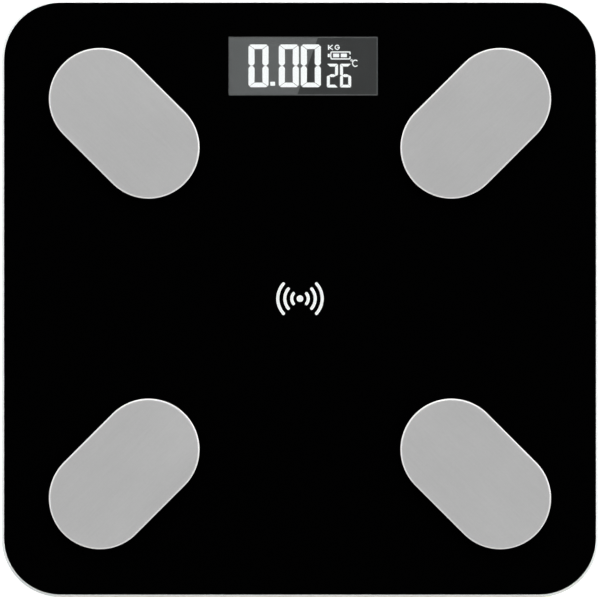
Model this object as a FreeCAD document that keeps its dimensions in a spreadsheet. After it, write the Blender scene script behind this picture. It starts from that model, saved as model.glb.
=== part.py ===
"""Digital bathroom scale with four foot electrodes: a glass platform on a moulded base.

Frame: millimetres, +Z up, +Y towards the display edge, origin on the floor below the
middle of the platform. Every sub-part is an object of the document, driven by the
spreadsheet "Sizes", and is written to parts/LABEL.step.
"""

import FreeCAD
import Part
import Sketcher

import math
import os
import re

from FreeCAD import Placement, Rotation, Vector

UP = Vector(0, 0, 1)
SMALL = 1e-6

# ---------------------------------------------------------------- driving sizes
# alias, value in millimetres (degrees where the note says so), note
SIZES = [
    ("platform_width", 260, "glass, left to right"),
    ("platform_depth", 260, "glass, front to rear"),
    ("platform_corner", 25.5, "corner radius of the glass"),
    ("glass_thickness", 6, ""),
    ("glass_bevel", 0.9, "polished bevel round the top edge"),
    ("glass_arris", 0.5, "small bevel round the bottom edge"),
    ("print_margin", 0.8, "clear glass left outside the black print"),
    ("print_thickness", 0.1, "ink layer under the glass"),
    ("tape_thickness", 0.5, "foam tape between base and glass"),
    ("tape_margin", 0.8, "tape edge to flange edge"),
    ("foot_height", 4.5, "base underside above the floor"),
    ("base_depth", 13.5, "underside to top of the base"),
    ("glass_overhang", 4, "glass edge beyond the base flange"),
    ("flange_width", 5, "flange edge to side wall"),
    ("flange_thickness", 2, ""),
    ("base_wall", 2, ""),
    ("base_floor", 2, ""),
    ("base_edge_radius", 5.5, "rounding of the base's bottom edge"),
    ("rib_height", 5, "above the base floor"),
    ("rib_thickness", 1.5, ""),
    ("electrode_length", 74.3, ""),
    ("electrode_width", 44.3, ""),
    ("electrode_thickness", 0.6, ""),
    ("electrode_bevel", 0.4, ""),
    ("electrode_inset_x", 53.5, "platform edge to electrode centre"),
    ("electrode_inset_y", 53.7, "platform edge to electrode centre"),
    ("adhesive_thickness", 0.15, ""),
    ("adhesive_inset", 0.6, "adhesive edge inside the electrode's edge"),
    ("stud_diameter", 3, "contact stud welded under each electrode"),
    ("stud_length", 11.2, "below the electrode's underside"),
    ("stud_offset", 18, "from the electrode's centre, towards the platform's middle"),
    ("stud_hole_diameter", 6, "in the glass"),
    ("washer_diameter", 9, ""),
    ("washer_thickness", 0.5, ""),
    ("terminal_diameter", 6.6, "ring terminal"),
    ("terminal_thickness", 0.4, ""),
    ("nut_width", 5.5, "across flats"),
    ("nut_thickness", 2.4, ""),
    ("fastener_clearance", 0.1, "radial, round studs and screws"),
    ("window_width", 65.1, "clear window in the print"),
    ("window_depth", 25.6, ""),
    ("window_offset_x", 1.4, "right of the platform's middle"),
    ("window_inset", 28.5, "rear edge to the window's middle"),
    ("icon_dot_diameter", 2.9, "wireless symbol"),
    ("icon_wave_pitch", 3.05, "from one wave to the next"),
    ("icon_first_wave", 3.6, "radius of the inner wave"),
    ("icon_line", 1.35, "line width of the waves"),
    ("lcd_margin", 2, "display beyond its window"),
    ("lcd_thickness", 1.8, ""),
    ("lcd_ledge", 2, "contact ledge along the display's front edge"),
    ("backlight_thickness", 2.6, ""),
    ("frame_wall", 1.2, "display frame"),
    ("frame_clearance", 0.15, ""),
    ("board_width", 92, ""),
    ("board_depth", 40, ""),
    ("board_setback", 4, "board middle in front of the window's middle"),
    ("board_thickness", 1.2, ""),
    ("board_gap", 0.3, "display stack above the board"),
    ("board_hole_inset", 4, ""),
    ("boss_diameter", 6, "screw bosses under the board"),
    ("screw_diameter", 2, ""),
    ("screw_head_diameter", 3.8, ""),
    ("screw_head_height", 1.2, ""),
    ("screw_length", 6, ""),
    ("foot_inset", 46, "platform edge to foot centre"),
    ("foot_diameter", 38, ""),
    ("foot_gap", 0.3, "foot to its ring"),
    ("foot_flange", 2, "flange beyond the foot"),
    ("foot_flange_thickness", 1.2, ""),
    ("foot_wall", 2, ""),
    ("foot_rim", 2.5, "foot's edge beyond its rubber pad"),
    ("foot_pad_thickness", 2, ""),
    ("foot_pad_recess", 1, "depth of the pad's seat in the foot"),
    ("foot_travel", 0.5, "under full load"),
    ("foot_boss_diameter", 9, "boss under the load cell's tongue"),
    ("well_clearance", 0.4, "foot flange to its well"),
    ("well_wall", 2, ""),
    ("well_ceiling", 2, ""),
    ("ring_land", 2.9, "retaining ring beyond the well"),
    ("ring_drop", 1, "ring below the base's underside"),
    ("ring_seat", 1.2, "ring's depth in the base"),
    ("ring_slack", 0.1, "ring to the foot's flange and to its seat"),
    ("ring_ear_diameter", 7, ""),
    ("load_cell_width", 34, ""),
    ("load_cell_corner", 8, ""),
    ("load_cell_thickness", 2, ""),
    ("tongue_width", 10, ""),
    ("tongue_length", 19, ""),
    ("tongue_slot", 1.6, ""),
    ("tongue_lift", 1, "room above the tongue"),
    ("button_height", 0.5, "pressed button under the tongue"),
    ("cell_diameter", 10.5, "AAA cell"),
    ("cell_length", 44.5, "AAA cell over its cap"),
    ("cell_gap", 0.6, ""),
    ("cell_clearance", 0.3, ""),
    ("spring_length", 3.7, ""),
    ("contact_thickness", 0.4, ""),
    ("battery_setback", 66.5, "battery box middle in front of the window's middle"),
    ("box_wall", 2, ""),
    ("door_thickness", 1.6, ""),
    ("door_clearance", 0.15, ""),
    ("door_overlap", 1.5, "door beyond the battery box"),
    ("knuckle_radius", 1.5, "door's hinge roll"),
    ("pin_diameter", 1.6, "door's hinge pins"),
    ("pin_length", 1.6, ""),
    ("pin_clearance", 0.05, "radial"),
    ("latch_width", 12, ""),
    ("latch_thickness", 0.9, ""),
    ("latch_bend", 1.2, "inner radius of the latch's bend"),
    ("latch_rise", 3.6, "latch legs above the door"),
    ("hook_reach", 0.8, ""),
    ("notch_diameter", 15, "finger notch beside the latch"),
    ("notch_depth", 1.1, ""),
    ("unit_button_diameter", 8, ""),
    ("unit_button_travel", 0.4, ""),
    ("unit_button_x", -30, "from the platform's middle"),
    ("unit_button_setback", 12, "button in front of the window's middle"),
    ("switch_width", 6, ""),
    ("switch_height", 3.5, ""),
    ("plunger_diameter", 3.4, ""),
    ("plunger_reach", 0.6, "plunger out of the switch"),
    ("lead_diameter", 1, "over the insulation"),
    ("lead_pitch", 1.3, "leads side by side"),
    ("lead_deck", 0.8, "lead centres above the ribs"),
    ("connector_height", 4, ""),
    ("connector_depth", 5, ""),
    ("connector_width", 12, ""),
    ("label_width", 62, "blank rating label"),
    ("label_depth", 34, ""),
    ("label_thickness", 0.15, ""),
    ("label_setback", 74, "label middle in front of the battery box's middle"),
]

CORNERS = {
    "rear_left": (-1, 1),
    "rear_right": (1, 1),
    "front_left": (-1, -1),
    "front_right": (1, -1),
}
EAR_ANGLES = (180, 60, -60)  # degrees from the inward diagonal

doc = FreeCAD.newDocument("bathroom_scale")
sheet = doc.addObject("Spreadsheet::Sheet", "Sizes")
for row, (alias, value, note) in enumerate(SIZES, start=1):
    sheet.set(f"A{row}", alias)
    sheet.set(f"B{row}", str(value))
    sheet.set(f"C{row}", note)
    sheet.setAlias(f"B{row}", alias)
doc.recompute()

ALIAS = re.compile(r"\b(" + "|".join(alias for alias, _, _ in SIZES) + r")\b")
sub_parts = []


# ------------------------------------------------------------------ expressions
def bound(text):
    """An expression in plain size names, as FreeCAD reads it."""
    return ALIAS.sub(r"Sizes.\1", str(text))


def size(text):
    """The value of an expression in size names."""
    result = sheet.evalExpression(bound(text))
    return float(getattr(result, "Value", result))


# Levels and places that several sub-parts share.
BASE_BOTTOM = "foot_height"
FLOOR_TOP = "(foot_height + base_floor)"
BASE_TOP = "(foot_height + base_depth)"
PRINT_BOTTOM = f"({BASE_TOP} + tape_thickness)"
GLASS_BOTTOM = f"({PRINT_BOTTOM} + print_thickness)"
GLASS_TOP = f"({GLASS_BOTTOM} + glass_thickness)"
ELECTRODE_BOTTOM = f"({GLASS_TOP} + adhesive_thickness)"
FLANGE_X = "(platform_width / 2 - glass_overhang)"
FLANGE_Y = "(platform_depth / 2 - glass_overhang)"
FLANGE_CORNER = "(platform_corner - glass_overhang)"
WALL_X = f"({FLANGE_X} - flange_width)"
WALL_Y = f"({FLANGE_Y} - flange_width)"
WALL_CORNER = f"({FLANGE_CORNER} - flange_width)"
WINDOW_X = "window_offset_x"
WINDOW_Y = "(platform_depth / 2 - window_inset)"
LCD_BOTTOM = f"({PRINT_BOTTOM} - lcd_thickness)"
BACKLIGHT_BOTTOM = f"({LCD_BOTTOM} - backlight_thickness)"
BOARD_TOP = f"({BACKLIGHT_BOTTOM} - board_gap)"
BOARD_BOTTOM = f"({BOARD_TOP} - board_thickness)"
BOARD_Y = f"({WINDOW_Y} - board_setback)"
LCD_X = "(window_width / 2 + lcd_margin)"
LCD_Y = "(window_depth / 2 + lcd_margin)"
FOOT_X = "(platform_width / 2 - foot_inset)"
FOOT_Y = "(platform_depth / 2 - foot_inset)"
RING_TOP = f"({BASE_BOTTOM} + ring_seat)"
FLANGE_BOTTOM = f"({RING_TOP} + ring_slack)"
FOOT_RADIUS = "(foot_diameter / 2)"
FOOT_FLANGE_RADIUS = f"({FOOT_RADIUS} + foot_flange)"
CELL_REACH = "(load_cell_width * 0.7072 - load_cell_corner * 0.4142)"
WELL_RADIUS = f"(max({FOOT_FLANGE_RADIUS}; {CELL_REACH}) + well_clearance)"
TOWER_RADIUS = f"({WELL_RADIUS} + well_wall)"
RING_RADIUS = f"({WELL_RADIUS} + ring_land)"
EAR_RADIUS = f"({RING_RADIUS} + 0.5)"
FOOT_TOP = f"({FLANGE_BOTTOM} + foot_flange_thickness)"
BOSS_TOP = f"({FOOT_TOP} + foot_travel + 1)"
CELL_BOTTOM = f"({BOSS_TOP} + button_height)"
WELL_TOP = f"({CELL_BOTTOM} + load_cell_thickness)"
TOWER_HOLLOW = f"({WELL_TOP} + well_ceiling)"
BATTERY_Y = f"({WINDOW_Y} - battery_setback)"
BOX_X = "((cell_length + spring_length) / 2 + contact_thickness)"
BOX_Y = "(cell_diameter + cell_gap / 2 + cell_clearance)"
DOOR_TOP = f"({BASE_BOTTOM} + door_thickness)"
CELL_AXIS = f"({DOOR_TOP} + cell_clearance + cell_diameter / 2)"
BOX_TOP = f"({CELL_AXIS} + cell_diameter / 2 + cell_clearance)"
DOOR_X = f"({BOX_X} + door_overlap)"
DOOR_REAR = f"({BATTERY_Y} + {BOX_Y} + door_overlap)"
HINGE_Y = f"({BATTERY_Y} - {BOX_Y} - knuckle_radius - door_clearance - box_wall / 2)"
HINGE_Z = f"({BASE_BOTTOM} + knuckle_radius)"
TROUGH = "(knuckle_radius + door_clearance)"
LATCH_INNER = f"({DOOR_REAR} - latch_thickness)"
LATCH_OUTER = f"({DOOR_REAR} + 2 * latch_bend + latch_thickness)"
KEEPER = f"({LATCH_OUTER} + door_clearance)"
LATCH_BOX_REAR = f"({KEEPER} + hook_reach + 0.6)"
LATCH_BEND_Z = f"({DOOR_TOP} + latch_rise)"
LATCH_BOX_TOP = f"({LATCH_BEND_Z} + latch_bend + latch_thickness + 0.5)"
UNIT_X = "unit_button_x"
UNIT_Y = f"({WINDOW_Y} - unit_button_setback)"
UNIT_RADIUS = "(unit_button_diameter / 2)"
SWITCH_BOTTOM = f"({BOARD_BOTTOM} - switch_height)"
PLUNGER_BOTTOM = f"({SWITCH_BOTTOM} - plunger_reach)"
RIB_TOP = f"({FLOOR_TOP} + rib_height)"
TERMINAL_Z = f"({PRINT_BOTTOM} - washer_thickness - terminal_thickness)"
LABEL_Y = f"({BATTERY_Y} - label_setback)"


def corner_place(name, radius_text="0", angle=0):
    """x and y expressions of a point round a foot, its angle taken from the inward diagonal."""
    sx, sy = CORNERS[name]
    turn = math.degrees(math.atan2(-sy, -sx)) + angle
    x = f"{sx} * {FOOT_X} + {radius_text} * cos({turn} deg)"
    y = f"{sy} * {FOOT_Y} + {radius_text} * sin({turn} deg)"
    return x, y


def stud_place(name):
    """x and y expressions of an electrode's contact stud."""
    sx, sy = CORNERS[name]
    x = f"{sx} * (platform_width / 2 - electrode_inset_x - stud_offset * cos(45 deg))"
    y = f"{sy} * (platform_depth / 2 - electrode_inset_y - stud_offset * sin(45 deg))"
    return x, y


# --------------------------------------------------------------------- sketches
def plane(body, role):
    """One of a body's own origin planes."""
    return next(f for f in body.Origin.OriginFeatures if f.Role == role)


def sketch(body, name, height="0", role="XY_Plane"):
    """A sketch on a body's origin plane, raised by an expression."""
    made = body.newObject("Sketcher::SketchObject", name)
    made.AttachmentSupport = [(plane(body, role), "")]
    made.MapMode = "FlatFace"
    made.setExpression("AttachmentOffset.Base.z", bound(height))
    return made


def datum(sk, constraint, text):
    """A dimension that follows the sheet."""
    index = sk.addConstraint(constraint)
    sk.setExpression(f"Constraints[{index}]", bound(text))


def pin_point(sk, geometry, end, x, y):
    """Holds a point of the sketch at two expressions from its origin."""
    for kind, text, axis in (("DistanceX", x, -2), ("DistanceY", y, -1)):
        if text == "0":
            sk.addConstraint(Sketcher.Constraint("PointOnObject", geometry, end, axis))
        else:
            rule = Sketcher.Constraint(kind, -1, 1, geometry, end, size(text))
            datum(sk, rule, text)


def circle(sk, x, y, radius):
    """A circle at (x, y)."""
    round_ = Part.Circle(Vector(size(x), size(y), 0), UP, size(radius))
    index = sk.addGeometry(round_, False)
    datum(sk, Sketcher.Constraint("Radius", index, size(radius)), radius)
    pin_point(sk, index, 3, x, y)


def polygon(sk, points):
    """A closed outline of straight lines through (x, y) expressions."""
    corners = [Vector(size(x), size(y), 0) for x, y in points]
    lines = []
    for i, start in enumerate(corners):
        end = corners[(i + 1) % len(corners)]
        lines.append(sk.addGeometry(Part.LineSegment(start, end), False))
    for i, line in enumerate(lines):
        following = lines[(i + 1) % len(lines)]
        sk.addConstraint(Sketcher.Constraint("Coincident", line, 2, following, 1))
        pin_point(sk, line, 1, *points[i])


def rectangle(sk, x0, x1, y0, y1):
    """A rectangle between four expressions."""
    polygon(sk, [(x0, y0), (x1, y0), (x1, y1), (x0, y1)])


def rounded_rectangle(sk, x0, x1, y0, y1, radius):
    """A rectangle with rounded corners between four expressions."""
    a, b, c, d, r = (size(t) for t in (x0, x1, y0, y1, radius))
    ends = [
        ((a + r, c), (b - r, c)),
        ((b, c + r), (b, d - r)),
        ((b - r, d), (a + r, d)),
        ((a, d - r), (a, c + r)),
    ]
    centres = [(b - r, c + r), (b - r, d - r), (a + r, d - r), (a + r, c + r)]
    sides = [
        sk.addGeometry(Part.LineSegment(Vector(*p, 0), Vector(*q, 0)), False)
        for p, q in ends
    ]
    turns = []
    for i, centre in enumerate(centres):
        round_ = Part.Circle(Vector(*centre, 0), UP, r)
        start = math.radians(90 * (i - 1))
        arc = Part.ArcOfCircle(round_, start, start + math.pi / 2)
        turns.append(sk.addGeometry(arc, False))
    for i in range(4):
        sk.addConstraint(Sketcher.Constraint("Tangent", sides[i], 2, turns[i], 1))
        after = sides[(i + 1) % 4]
        sk.addConstraint(Sketcher.Constraint("Tangent", turns[i], 2, after, 1))
        kind = "Vertical" if i % 2 else "Horizontal"
        sk.addConstraint(Sketcher.Constraint(kind, sides[i]))
    for turn in turns[1:]:
        sk.addConstraint(Sketcher.Constraint("Equal", turns[0], turn))
    datum(sk, Sketcher.Constraint("Radius", turns[0], r), radius)
    datum(sk, Sketcher.Constraint("DistanceY", -1, 1, sides[0], 1, c), y0)
    datum(sk, Sketcher.Constraint("DistanceX", -1, 1, sides[1], 1, b), x1)
    datum(sk, Sketcher.Constraint("DistanceY", -1, 1, sides[2], 1, d), y1)
    datum(sk, Sketcher.Constraint("DistanceX", -1, 1, sides[3], 1, a), x0)


def pill(sk, half_length, radius):
    """A stadium along X about the sketch's origin, with half_length from end to middle."""
    reach, r = size(f"{half_length} - {radius}"), size(radius)
    rows = [((-reach, -r), (reach, -r)), ((reach, r), (-reach, r))]
    rails = [
        sk.addGeometry(Part.LineSegment(Vector(*p, 0), Vector(*q, 0)), False)
        for p, q in rows
    ]
    ends = []
    for x, start in ((reach, -math.pi / 2), (-reach, math.pi / 2)):
        round_ = Part.Circle(Vector(x, 0, 0), UP, r)
        arc = Part.ArcOfCircle(round_, start, start + math.pi)
        ends.append(sk.addGeometry(arc, False))
    for i in range(2):
        sk.addConstraint(Sketcher.Constraint("Tangent", rails[i], 2, ends[i], 1))
        sk.addConstraint(Sketcher.Constraint("Tangent", ends[i], 2, rails[1 - i], 1))
        sk.addConstraint(Sketcher.Constraint("PointOnObject", ends[i], 3, -1))
    datum(sk, Sketcher.Constraint("Radius", ends[0], r), radius)
    for i, sign in ((0, ""), (1, "-")):
        x = f"{sign}({half_length} - {radius})"
        datum(sk, Sketcher.Constraint("DistanceX", -1, 1, ends[i], 3, size(x)), x)


def wave(sk, radius, line, half_angle, sign):
    """A curved stroke with round ends about the sketch's origin, to the right or left."""
    r, w = size(radius), size(f"{line} / 2")
    middle = 0.0 if sign > 0 else math.pi
    spread = math.radians(half_angle)
    low, high = middle - spread, middle + spread
    outer = Part.ArcOfCircle(Part.Circle(Vector(), UP, r + w), low, high)
    inner = Part.ArcOfCircle(Part.Circle(Vector(), UP, r - w), low, high)
    caps = []
    for angle, start in ((high, high), (low, low + math.pi)):
        spot = Vector(r * math.cos(angle), r * math.sin(angle), 0)
        caps.append(Part.ArcOfCircle(Part.Circle(spot, UP, w), start, start + math.pi))
    out, into, top, bottom = (sk.addGeometry(g, False) for g in (outer, inner, *caps))
    for arc in (out, into):
        sk.addConstraint(Sketcher.Constraint("Coincident", arc, 3, -1, 1))
    for first, end, second, start in (
        (out, 2, top, 1),
        (top, 2, into, 2),
        (into, 1, bottom, 1),
        (bottom, 2, out, 1),
    ):
        sk.addConstraint(Sketcher.Constraint("Tangent", first, end, second, start))
    datum(sk, Sketcher.Constraint("Radius", out, r + w), f"{radius} + {line} / 2")
    datum(sk, Sketcher.Constraint("Radius", top, w), f"{line} / 2")
    for cap, angle in ((top, high), (bottom, low)):
        y = f"{radius} * sin({math.degrees(angle):.3f} deg)"
        datum(sk, Sketcher.Constraint("DistanceY", -1, 1, cap, 3, size(y)), y)


# --------------------------------------------------------------------- features
def new_body(label):
    """An empty body, listed as a sub-part under its label."""
    body = doc.addObject("PartDesign::Body", label)
    body.Label = label
    sub_parts.append(body)
    return body


def pad(body, name, height, length, draw, role="XY_Plane"):
    """Adds what draw() sketches, from height along the plane's normal."""
    profile = sketch(body, name + "_sketch", height, role)
    draw(profile)
    made = body.newObject("PartDesign::Pad", name)
    made.Profile = profile
    made.setExpression("Length", bound(length))
    doc.recompute()
    return made


def cut(body, name, height, length, draw, role="XY_Plane"):
    """Removes what draw() sketches, from height along the normal, and checks that it cuts."""
    before = body.Shape.Volume
    profile = sketch(body, name + "_sketch", height, role)
    draw(profile)
    made = body.newObject("PartDesign::Pocket", name)
    made.Profile = profile
    made.Reversed = True
    made.setExpression("Length", bound(length))
    doc.recompute()
    if body.Shape.Volume > before - SMALL:
        raise RuntimeError(f"{body.Label}: {name} cuts nothing")
    return made


def revolve(body, name, points, subtract=False):
    """Turns an outline in the XZ plane, given as (x, z) expressions, about Z."""
    profile = sketch(body, name + "_sketch", "0", "XZ_Plane")
    polygon(profile, points)
    kind = "PartDesign::Groove" if subtract else "PartDesign::Revolution"
    made = body.newObject(kind, name)
    made.Profile = profile
    made.ReferenceAxis = (profile, ["V_Axis"])
    made.Angle = 360
    doc.recompute()
    return made


def edge_names(feature, wanted):
    """Names of the edges of a feature's shape that a test picks."""
    return [
        f"Edge{i}" for i, edge in enumerate(feature.Shape.Edges, 1) if wanted(edge)
    ]


def dress(body, kind, name, wanted, text):
    """A fillet or chamfer on the picked edges of the body's tip."""
    base = body.Tip
    made = body.newObject("PartDesign::" + kind, name)
    made.Base = (base, edge_names(base, wanted))
    made.setExpression("Radius" if kind == "Fillet" else "Size", bound(text))
    doc.recompute()
    return made


def level_edge(text, least=0.0):
    """Test for edges that lie flat at a level and reach out at least so far."""
    z = size(text)

    def test(edge):
        box = edge.BoundBox
        flat = abs(box.ZMin - z) < SMALL and abs(box.ZMax - z) < SMALL
        reach = max(abs(box.XMin), abs(box.XMax), abs(box.YMin), abs(box.YMax))
        return flat and reach > least - SMALL

    return test


def place(obj, x, y, z="0", turn=0.0):
    """Puts an object at expressions, turned about Z."""
    obj.Placement = Placement(Vector(size(x), size(y), size(z)), Rotation(UP, turn))
    for axis, text in zip("xyz", (x, y, z)):
        obj.setExpression(f"Placement.Base.{axis}", bound(text))


def place_at_foot(obj, name):
    """Puts an object at a foot, its +X towards the platform's middle."""
    sx, sy = CORNERS[name]
    x, y = f"{sx} * {FOOT_X}", f"{sy} * {FOOT_Y}"
    place(obj, x, y, "0", math.degrees(math.atan2(-sy, -sx)))


def feature(label, shapes):
    """A sub-part whose shape is worked out with Part, as one or several solids."""
    made = doc.addObject("Part::Feature", label)
    made.Label = label
    made.Shape = shapes[0] if len(shapes) == 1 else Part.makeCompound(shapes)
    sub_parts.append(made)
    return made


def at(shape, x, y, z=0.0, turn=0.0):
    """A turned and moved copy of a shape."""
    moved = shape.copy()
    moved.Placement = Placement(Vector(x, y, z), Rotation(UP, turn)) * shape.Placement
    return moved


def block(x0, x1, y0, y1, z0, z1):
    """A box between six numbers."""
    return Part.makeBox(x1 - x0, y1 - y0, z1 - z0, Vector(x0, y0, z0))


def disc(radius, z0, z1, x=0.0, y=0.0):
    """An upright cylinder between two levels."""
    return Part.makeCylinder(radius, z1 - z0, Vector(x, y, z0), UP)


# ----------------------------------------------------------- platform and prints
def stud_holes(sk, radius):
    """The four places where the electrodes' studs pass."""
    for name in CORNERS:
        circle(sk, *stud_place(name), radius)


def plate_outline(sk, margin):
    """The platform's outline, drawn in by a margin."""
    x, y = f"(platform_width / 2 - {margin})", f"(platform_depth / 2 - {margin})"
    rounded_rectangle(sk, f"-{x}", x, f"-{y}", y, f"(platform_corner - {margin})")


def window_outline(sk):
    """The clear window over the display."""
    rectangle(
        sk,
        f"{WINDOW_X} - window_width / 2",
        f"{WINDOW_X} + window_width / 2",
        f"{WINDOW_Y} - window_depth / 2",
        f"{WINDOW_Y} + window_depth / 2",
    )


def icon_outline(sk):
    """A dot with three waves on each side."""
    circle(sk, "0", "0", "icon_dot_diameter / 2")
    for i, half_angle in enumerate((38, 40, 42)):
        radius = f"(icon_first_wave + {i} * icon_wave_pitch)"
        for sign in (1, -1):
            wave(sk, radius, "icon_line", half_angle, sign)


glass = new_body("glass_platform")
pad(glass, "slab", GLASS_BOTTOM, "glass_thickness", lambda sk: plate_outline(sk, "0"))
cut(
    glass,
    "stud_holes",
    GLASS_BOTTOM,
    "glass_thickness",
    lambda sk: stud_holes(sk, "stud_hole_diameter / 2"),
)
rim = size("platform_width / 2 - platform_corner")
dress(glass, "Chamfer", "top_bevel", level_edge(GLASS_TOP, rim), "glass_bevel")
dress(glass, "Chamfer", "arris", level_edge(GLASS_BOTTOM, rim), "glass_arris")

black = new_body("screen_print")
pad(
    black,
    "ink",
    PRINT_BOTTOM,
    "print_thickness",
    lambda sk: plate_outline(sk, "print_margin"),
)
cut(black, "window", PRINT_BOTTOM, "print_thickness", window_outline)
cut(black, "icon", PRINT_BOTTOM, "print_thickness", icon_outline)
cut(
    black,
    "stud_holes",
    PRINT_BOTTOM,
    "print_thickness",
    lambda sk: stud_holes(sk, "stud_hole_diameter / 2"),
)

icon = new_body("wireless_icon")
icon.AllowCompound = True
pad(icon, "ink", PRINT_BOTTOM, "print_thickness", icon_outline)

tape = new_body("bond_tape_frame")
pad(
    tape,
    "frame",
    BASE_TOP,
    "tape_thickness",
    lambda sk: rounded_rectangle(
        sk,
        f"-({FLANGE_X} - tape_margin)",
        f"{FLANGE_X} - tape_margin",
        f"-({FLANGE_Y} - tape_margin)",
        f"{FLANGE_Y} - tape_margin",
        f"{FLANGE_CORNER} - tape_margin",
    ),
)
cut(
    tape,
    "middle",
    BASE_TOP,
    "tape_thickness",
    lambda sk: rounded_rectangle(
        sk,
        f"-({WALL_X} - base_wall)",
        f"{WALL_X} - base_wall",
        f"-({WALL_Y} - base_wall)",
        f"{WALL_Y} - base_wall",
        f"{WALL_CORNER} - base_wall",
    ),
)

# -------------------------------------------------------------------- electrodes
for name, (sx, sy) in CORNERS.items():
    plate = new_body("electrode_" + name)
    pad(
        plate,
        "plate",
        ELECTRODE_BOTTOM,
        "electrode_thickness",
        lambda sk: pill(sk, "electrode_length / 2", "electrode_width / 2"),
    )
    top = level_edge(f"{ELECTRODE_BOTTOM} + electrode_thickness")
    dress(plate, "Chamfer", "bevel", top, "electrode_bevel")
    pad(
        plate,
        "stud",
        f"{ELECTRODE_BOTTOM} - stud_length",
        "stud_length",
        lambda sk: circle(sk, "stud_offset", "0", "stud_diameter / 2"),
    )
    place(
        plate,
        f"{sx} * (platform_width / 2 - electrode_inset_x)",
        f"{sy} * (platform_depth / 2 - electrode_inset_y)",
        "0",
        math.degrees(math.atan2(-sy, -sx)),
    )

# ------------------------------------------------------------------------- base
base = new_body("base_shell")


def each_foot(sk, radius):
    """A circle about each foot."""
    for name in CORNERS:
        circle(sk, *corner_place(name), radius)


def each_ear(sk, radius):
    """A circle about each screw of the retaining rings."""
    for name in CORNERS:
        for angle in EAR_ANGLES:
            circle(sk, *corner_place(name, EAR_RADIUS, angle), radius)


def lead_slots(sk):
    """A slot through the inward side of each foot tower."""
    for name, (sx, sy) in CORNERS.items():
        turn = math.degrees(math.atan2(-sy, -sx))
        ends = []
        for along, across in (
            (f"({WELL_RADIUS} - 1)", "-1"),
            (f"({TOWER_RADIUS} + 6)", "-1"),
            (f"({TOWER_RADIUS} + 6)", "1"),
            (f"({WELL_RADIUS} - 1)", "1"),
        ):
            side = f"({across} * (1.5 * lead_pitch + lead_diameter / 2))"
            x = f"{sx} * {FOOT_X} + {along} * cos({turn} deg) - {side} * sin({turn} deg)"
            y = f"{sy} * {FOOT_Y} + {along} * sin({turn} deg) + {side} * cos({turn} deg)"
            ends.append((x, y))
        polygon(sk, ends)


def board_holes(sk, radius):
    """A circle about each screw of the main board."""
    for sx in (-1, 1):
        for sy in (-1, 1):
            x = f"{WINDOW_X} + {sx} * (board_width / 2 - board_hole_inset)"
            y = f"{BOARD_Y} + {sy} * (board_depth / 2 - board_hole_inset)"
            circle(sk, x, y, radius)


def tray_outline(sk, inset):
    """The side wall's outline, drawn in by an inset."""
    x, y = f"({WALL_X} - {inset})", f"({WALL_Y} - {inset})"
    rounded_rectangle(sk, f"-{x}", x, f"-{y}", y, f"({WALL_CORNER} - {inset})")


pad(base, "tray", BASE_BOTTOM, "base_depth", lambda sk: tray_outline(sk, "0"))
dress(base, "Fillet", "bottom_round", level_edge(BASE_BOTTOM), "base_edge_radius")
pad(
    base,
    "flange",
    f"{BASE_TOP} - flange_thickness",
    "flange_thickness",
    lambda sk: rounded_rectangle(
        sk, f"-{FLANGE_X}", FLANGE_X, f"-{FLANGE_Y}", FLANGE_Y, FLANGE_CORNER
    ),
)
edge_of_flange = level_edge(
    f"{BASE_TOP} - flange_thickness", size(f"{FLANGE_X} - {FLANGE_CORNER}") + 1
)
dress(base, "Fillet", "flange_round", edge_of_flange, "flange_thickness / 4")
cut(
    base,
    "cavity",
    FLOOR_TOP,
    "base_depth - base_floor",
    lambda sk: tray_outline(sk, "base_wall"),
)
dress(
    base,
    "Fillet",
    "cavity_round",
    level_edge(FLOOR_TOP),
    "base_edge_radius - base_wall",
)


def rib_rows(sk):
    """Ribs along X: one across the middle and one beside each pair of feet."""
    for y in (
        f"({FOOT_Y} - {RING_RADIUS} - 4)",
        "0",
        f"(-{FOOT_Y} + {RING_RADIUS} + 4)",
    ):
        half = "rib_thickness / 2"
        x = f"({WALL_X} - base_wall / 2)"
        rectangle(sk, f"-{x}", x, f"{y} - {half}", f"{y} + {half}")


def rib_columns(sk):
    """Ribs along Y beside the feet."""
    for sign in (-1, 1):
        x = f"{sign} * ({FOOT_X} - {RING_RADIUS} - 4)"
        half = "rib_thickness / 2"
        y = f"({WALL_Y} - base_wall / 2)"
        rectangle(sk, f"{x} - {half}", f"{x} + {half}", f"-{y}", y)


pad(base, "rib_rows", FLOOR_TOP, "rib_height", rib_rows)
pad(base, "rib_columns", FLOOR_TOP, "rib_height", rib_columns)
pad(
    base,
    "foot_towers",
    FLOOR_TOP,
    f"{BASE_TOP} - {FLOOR_TOP}",
    lambda sk: each_foot(sk, TOWER_RADIUS),
)
pad(
    base,
    "foot_pads",
    FLOOR_TOP,
    "base_floor",
    lambda sk: each_foot(sk, f"({RING_RADIUS} + 3)"),
)
pad(
    base,
    "ring_bosses",
    FLOOR_TOP,
    f"{RING_TOP} + screw_length - {FLOOR_TOP}",
    lambda sk: each_ear(sk, "boss_diameter / 2"),
)
pad(
    base,
    "board_bosses",
    FLOOR_TOP,
    f"{BOARD_BOTTOM} - {FLOOR_TOP}",
    lambda sk: board_holes(sk, "boss_diameter / 2"),
)
pad(
    base,
    "battery_box",
    FLOOR_TOP,
    f"{BASE_TOP} - {FLOOR_TOP}",
    lambda sk: rectangle(
        sk,
        f"-({BOX_X} + box_wall)",
        f"{BOX_X} + box_wall",
        f"{BATTERY_Y} - {BOX_Y} - box_wall",
        f"{BATTERY_Y} + {BOX_Y} + box_wall",
    ),
)
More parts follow.
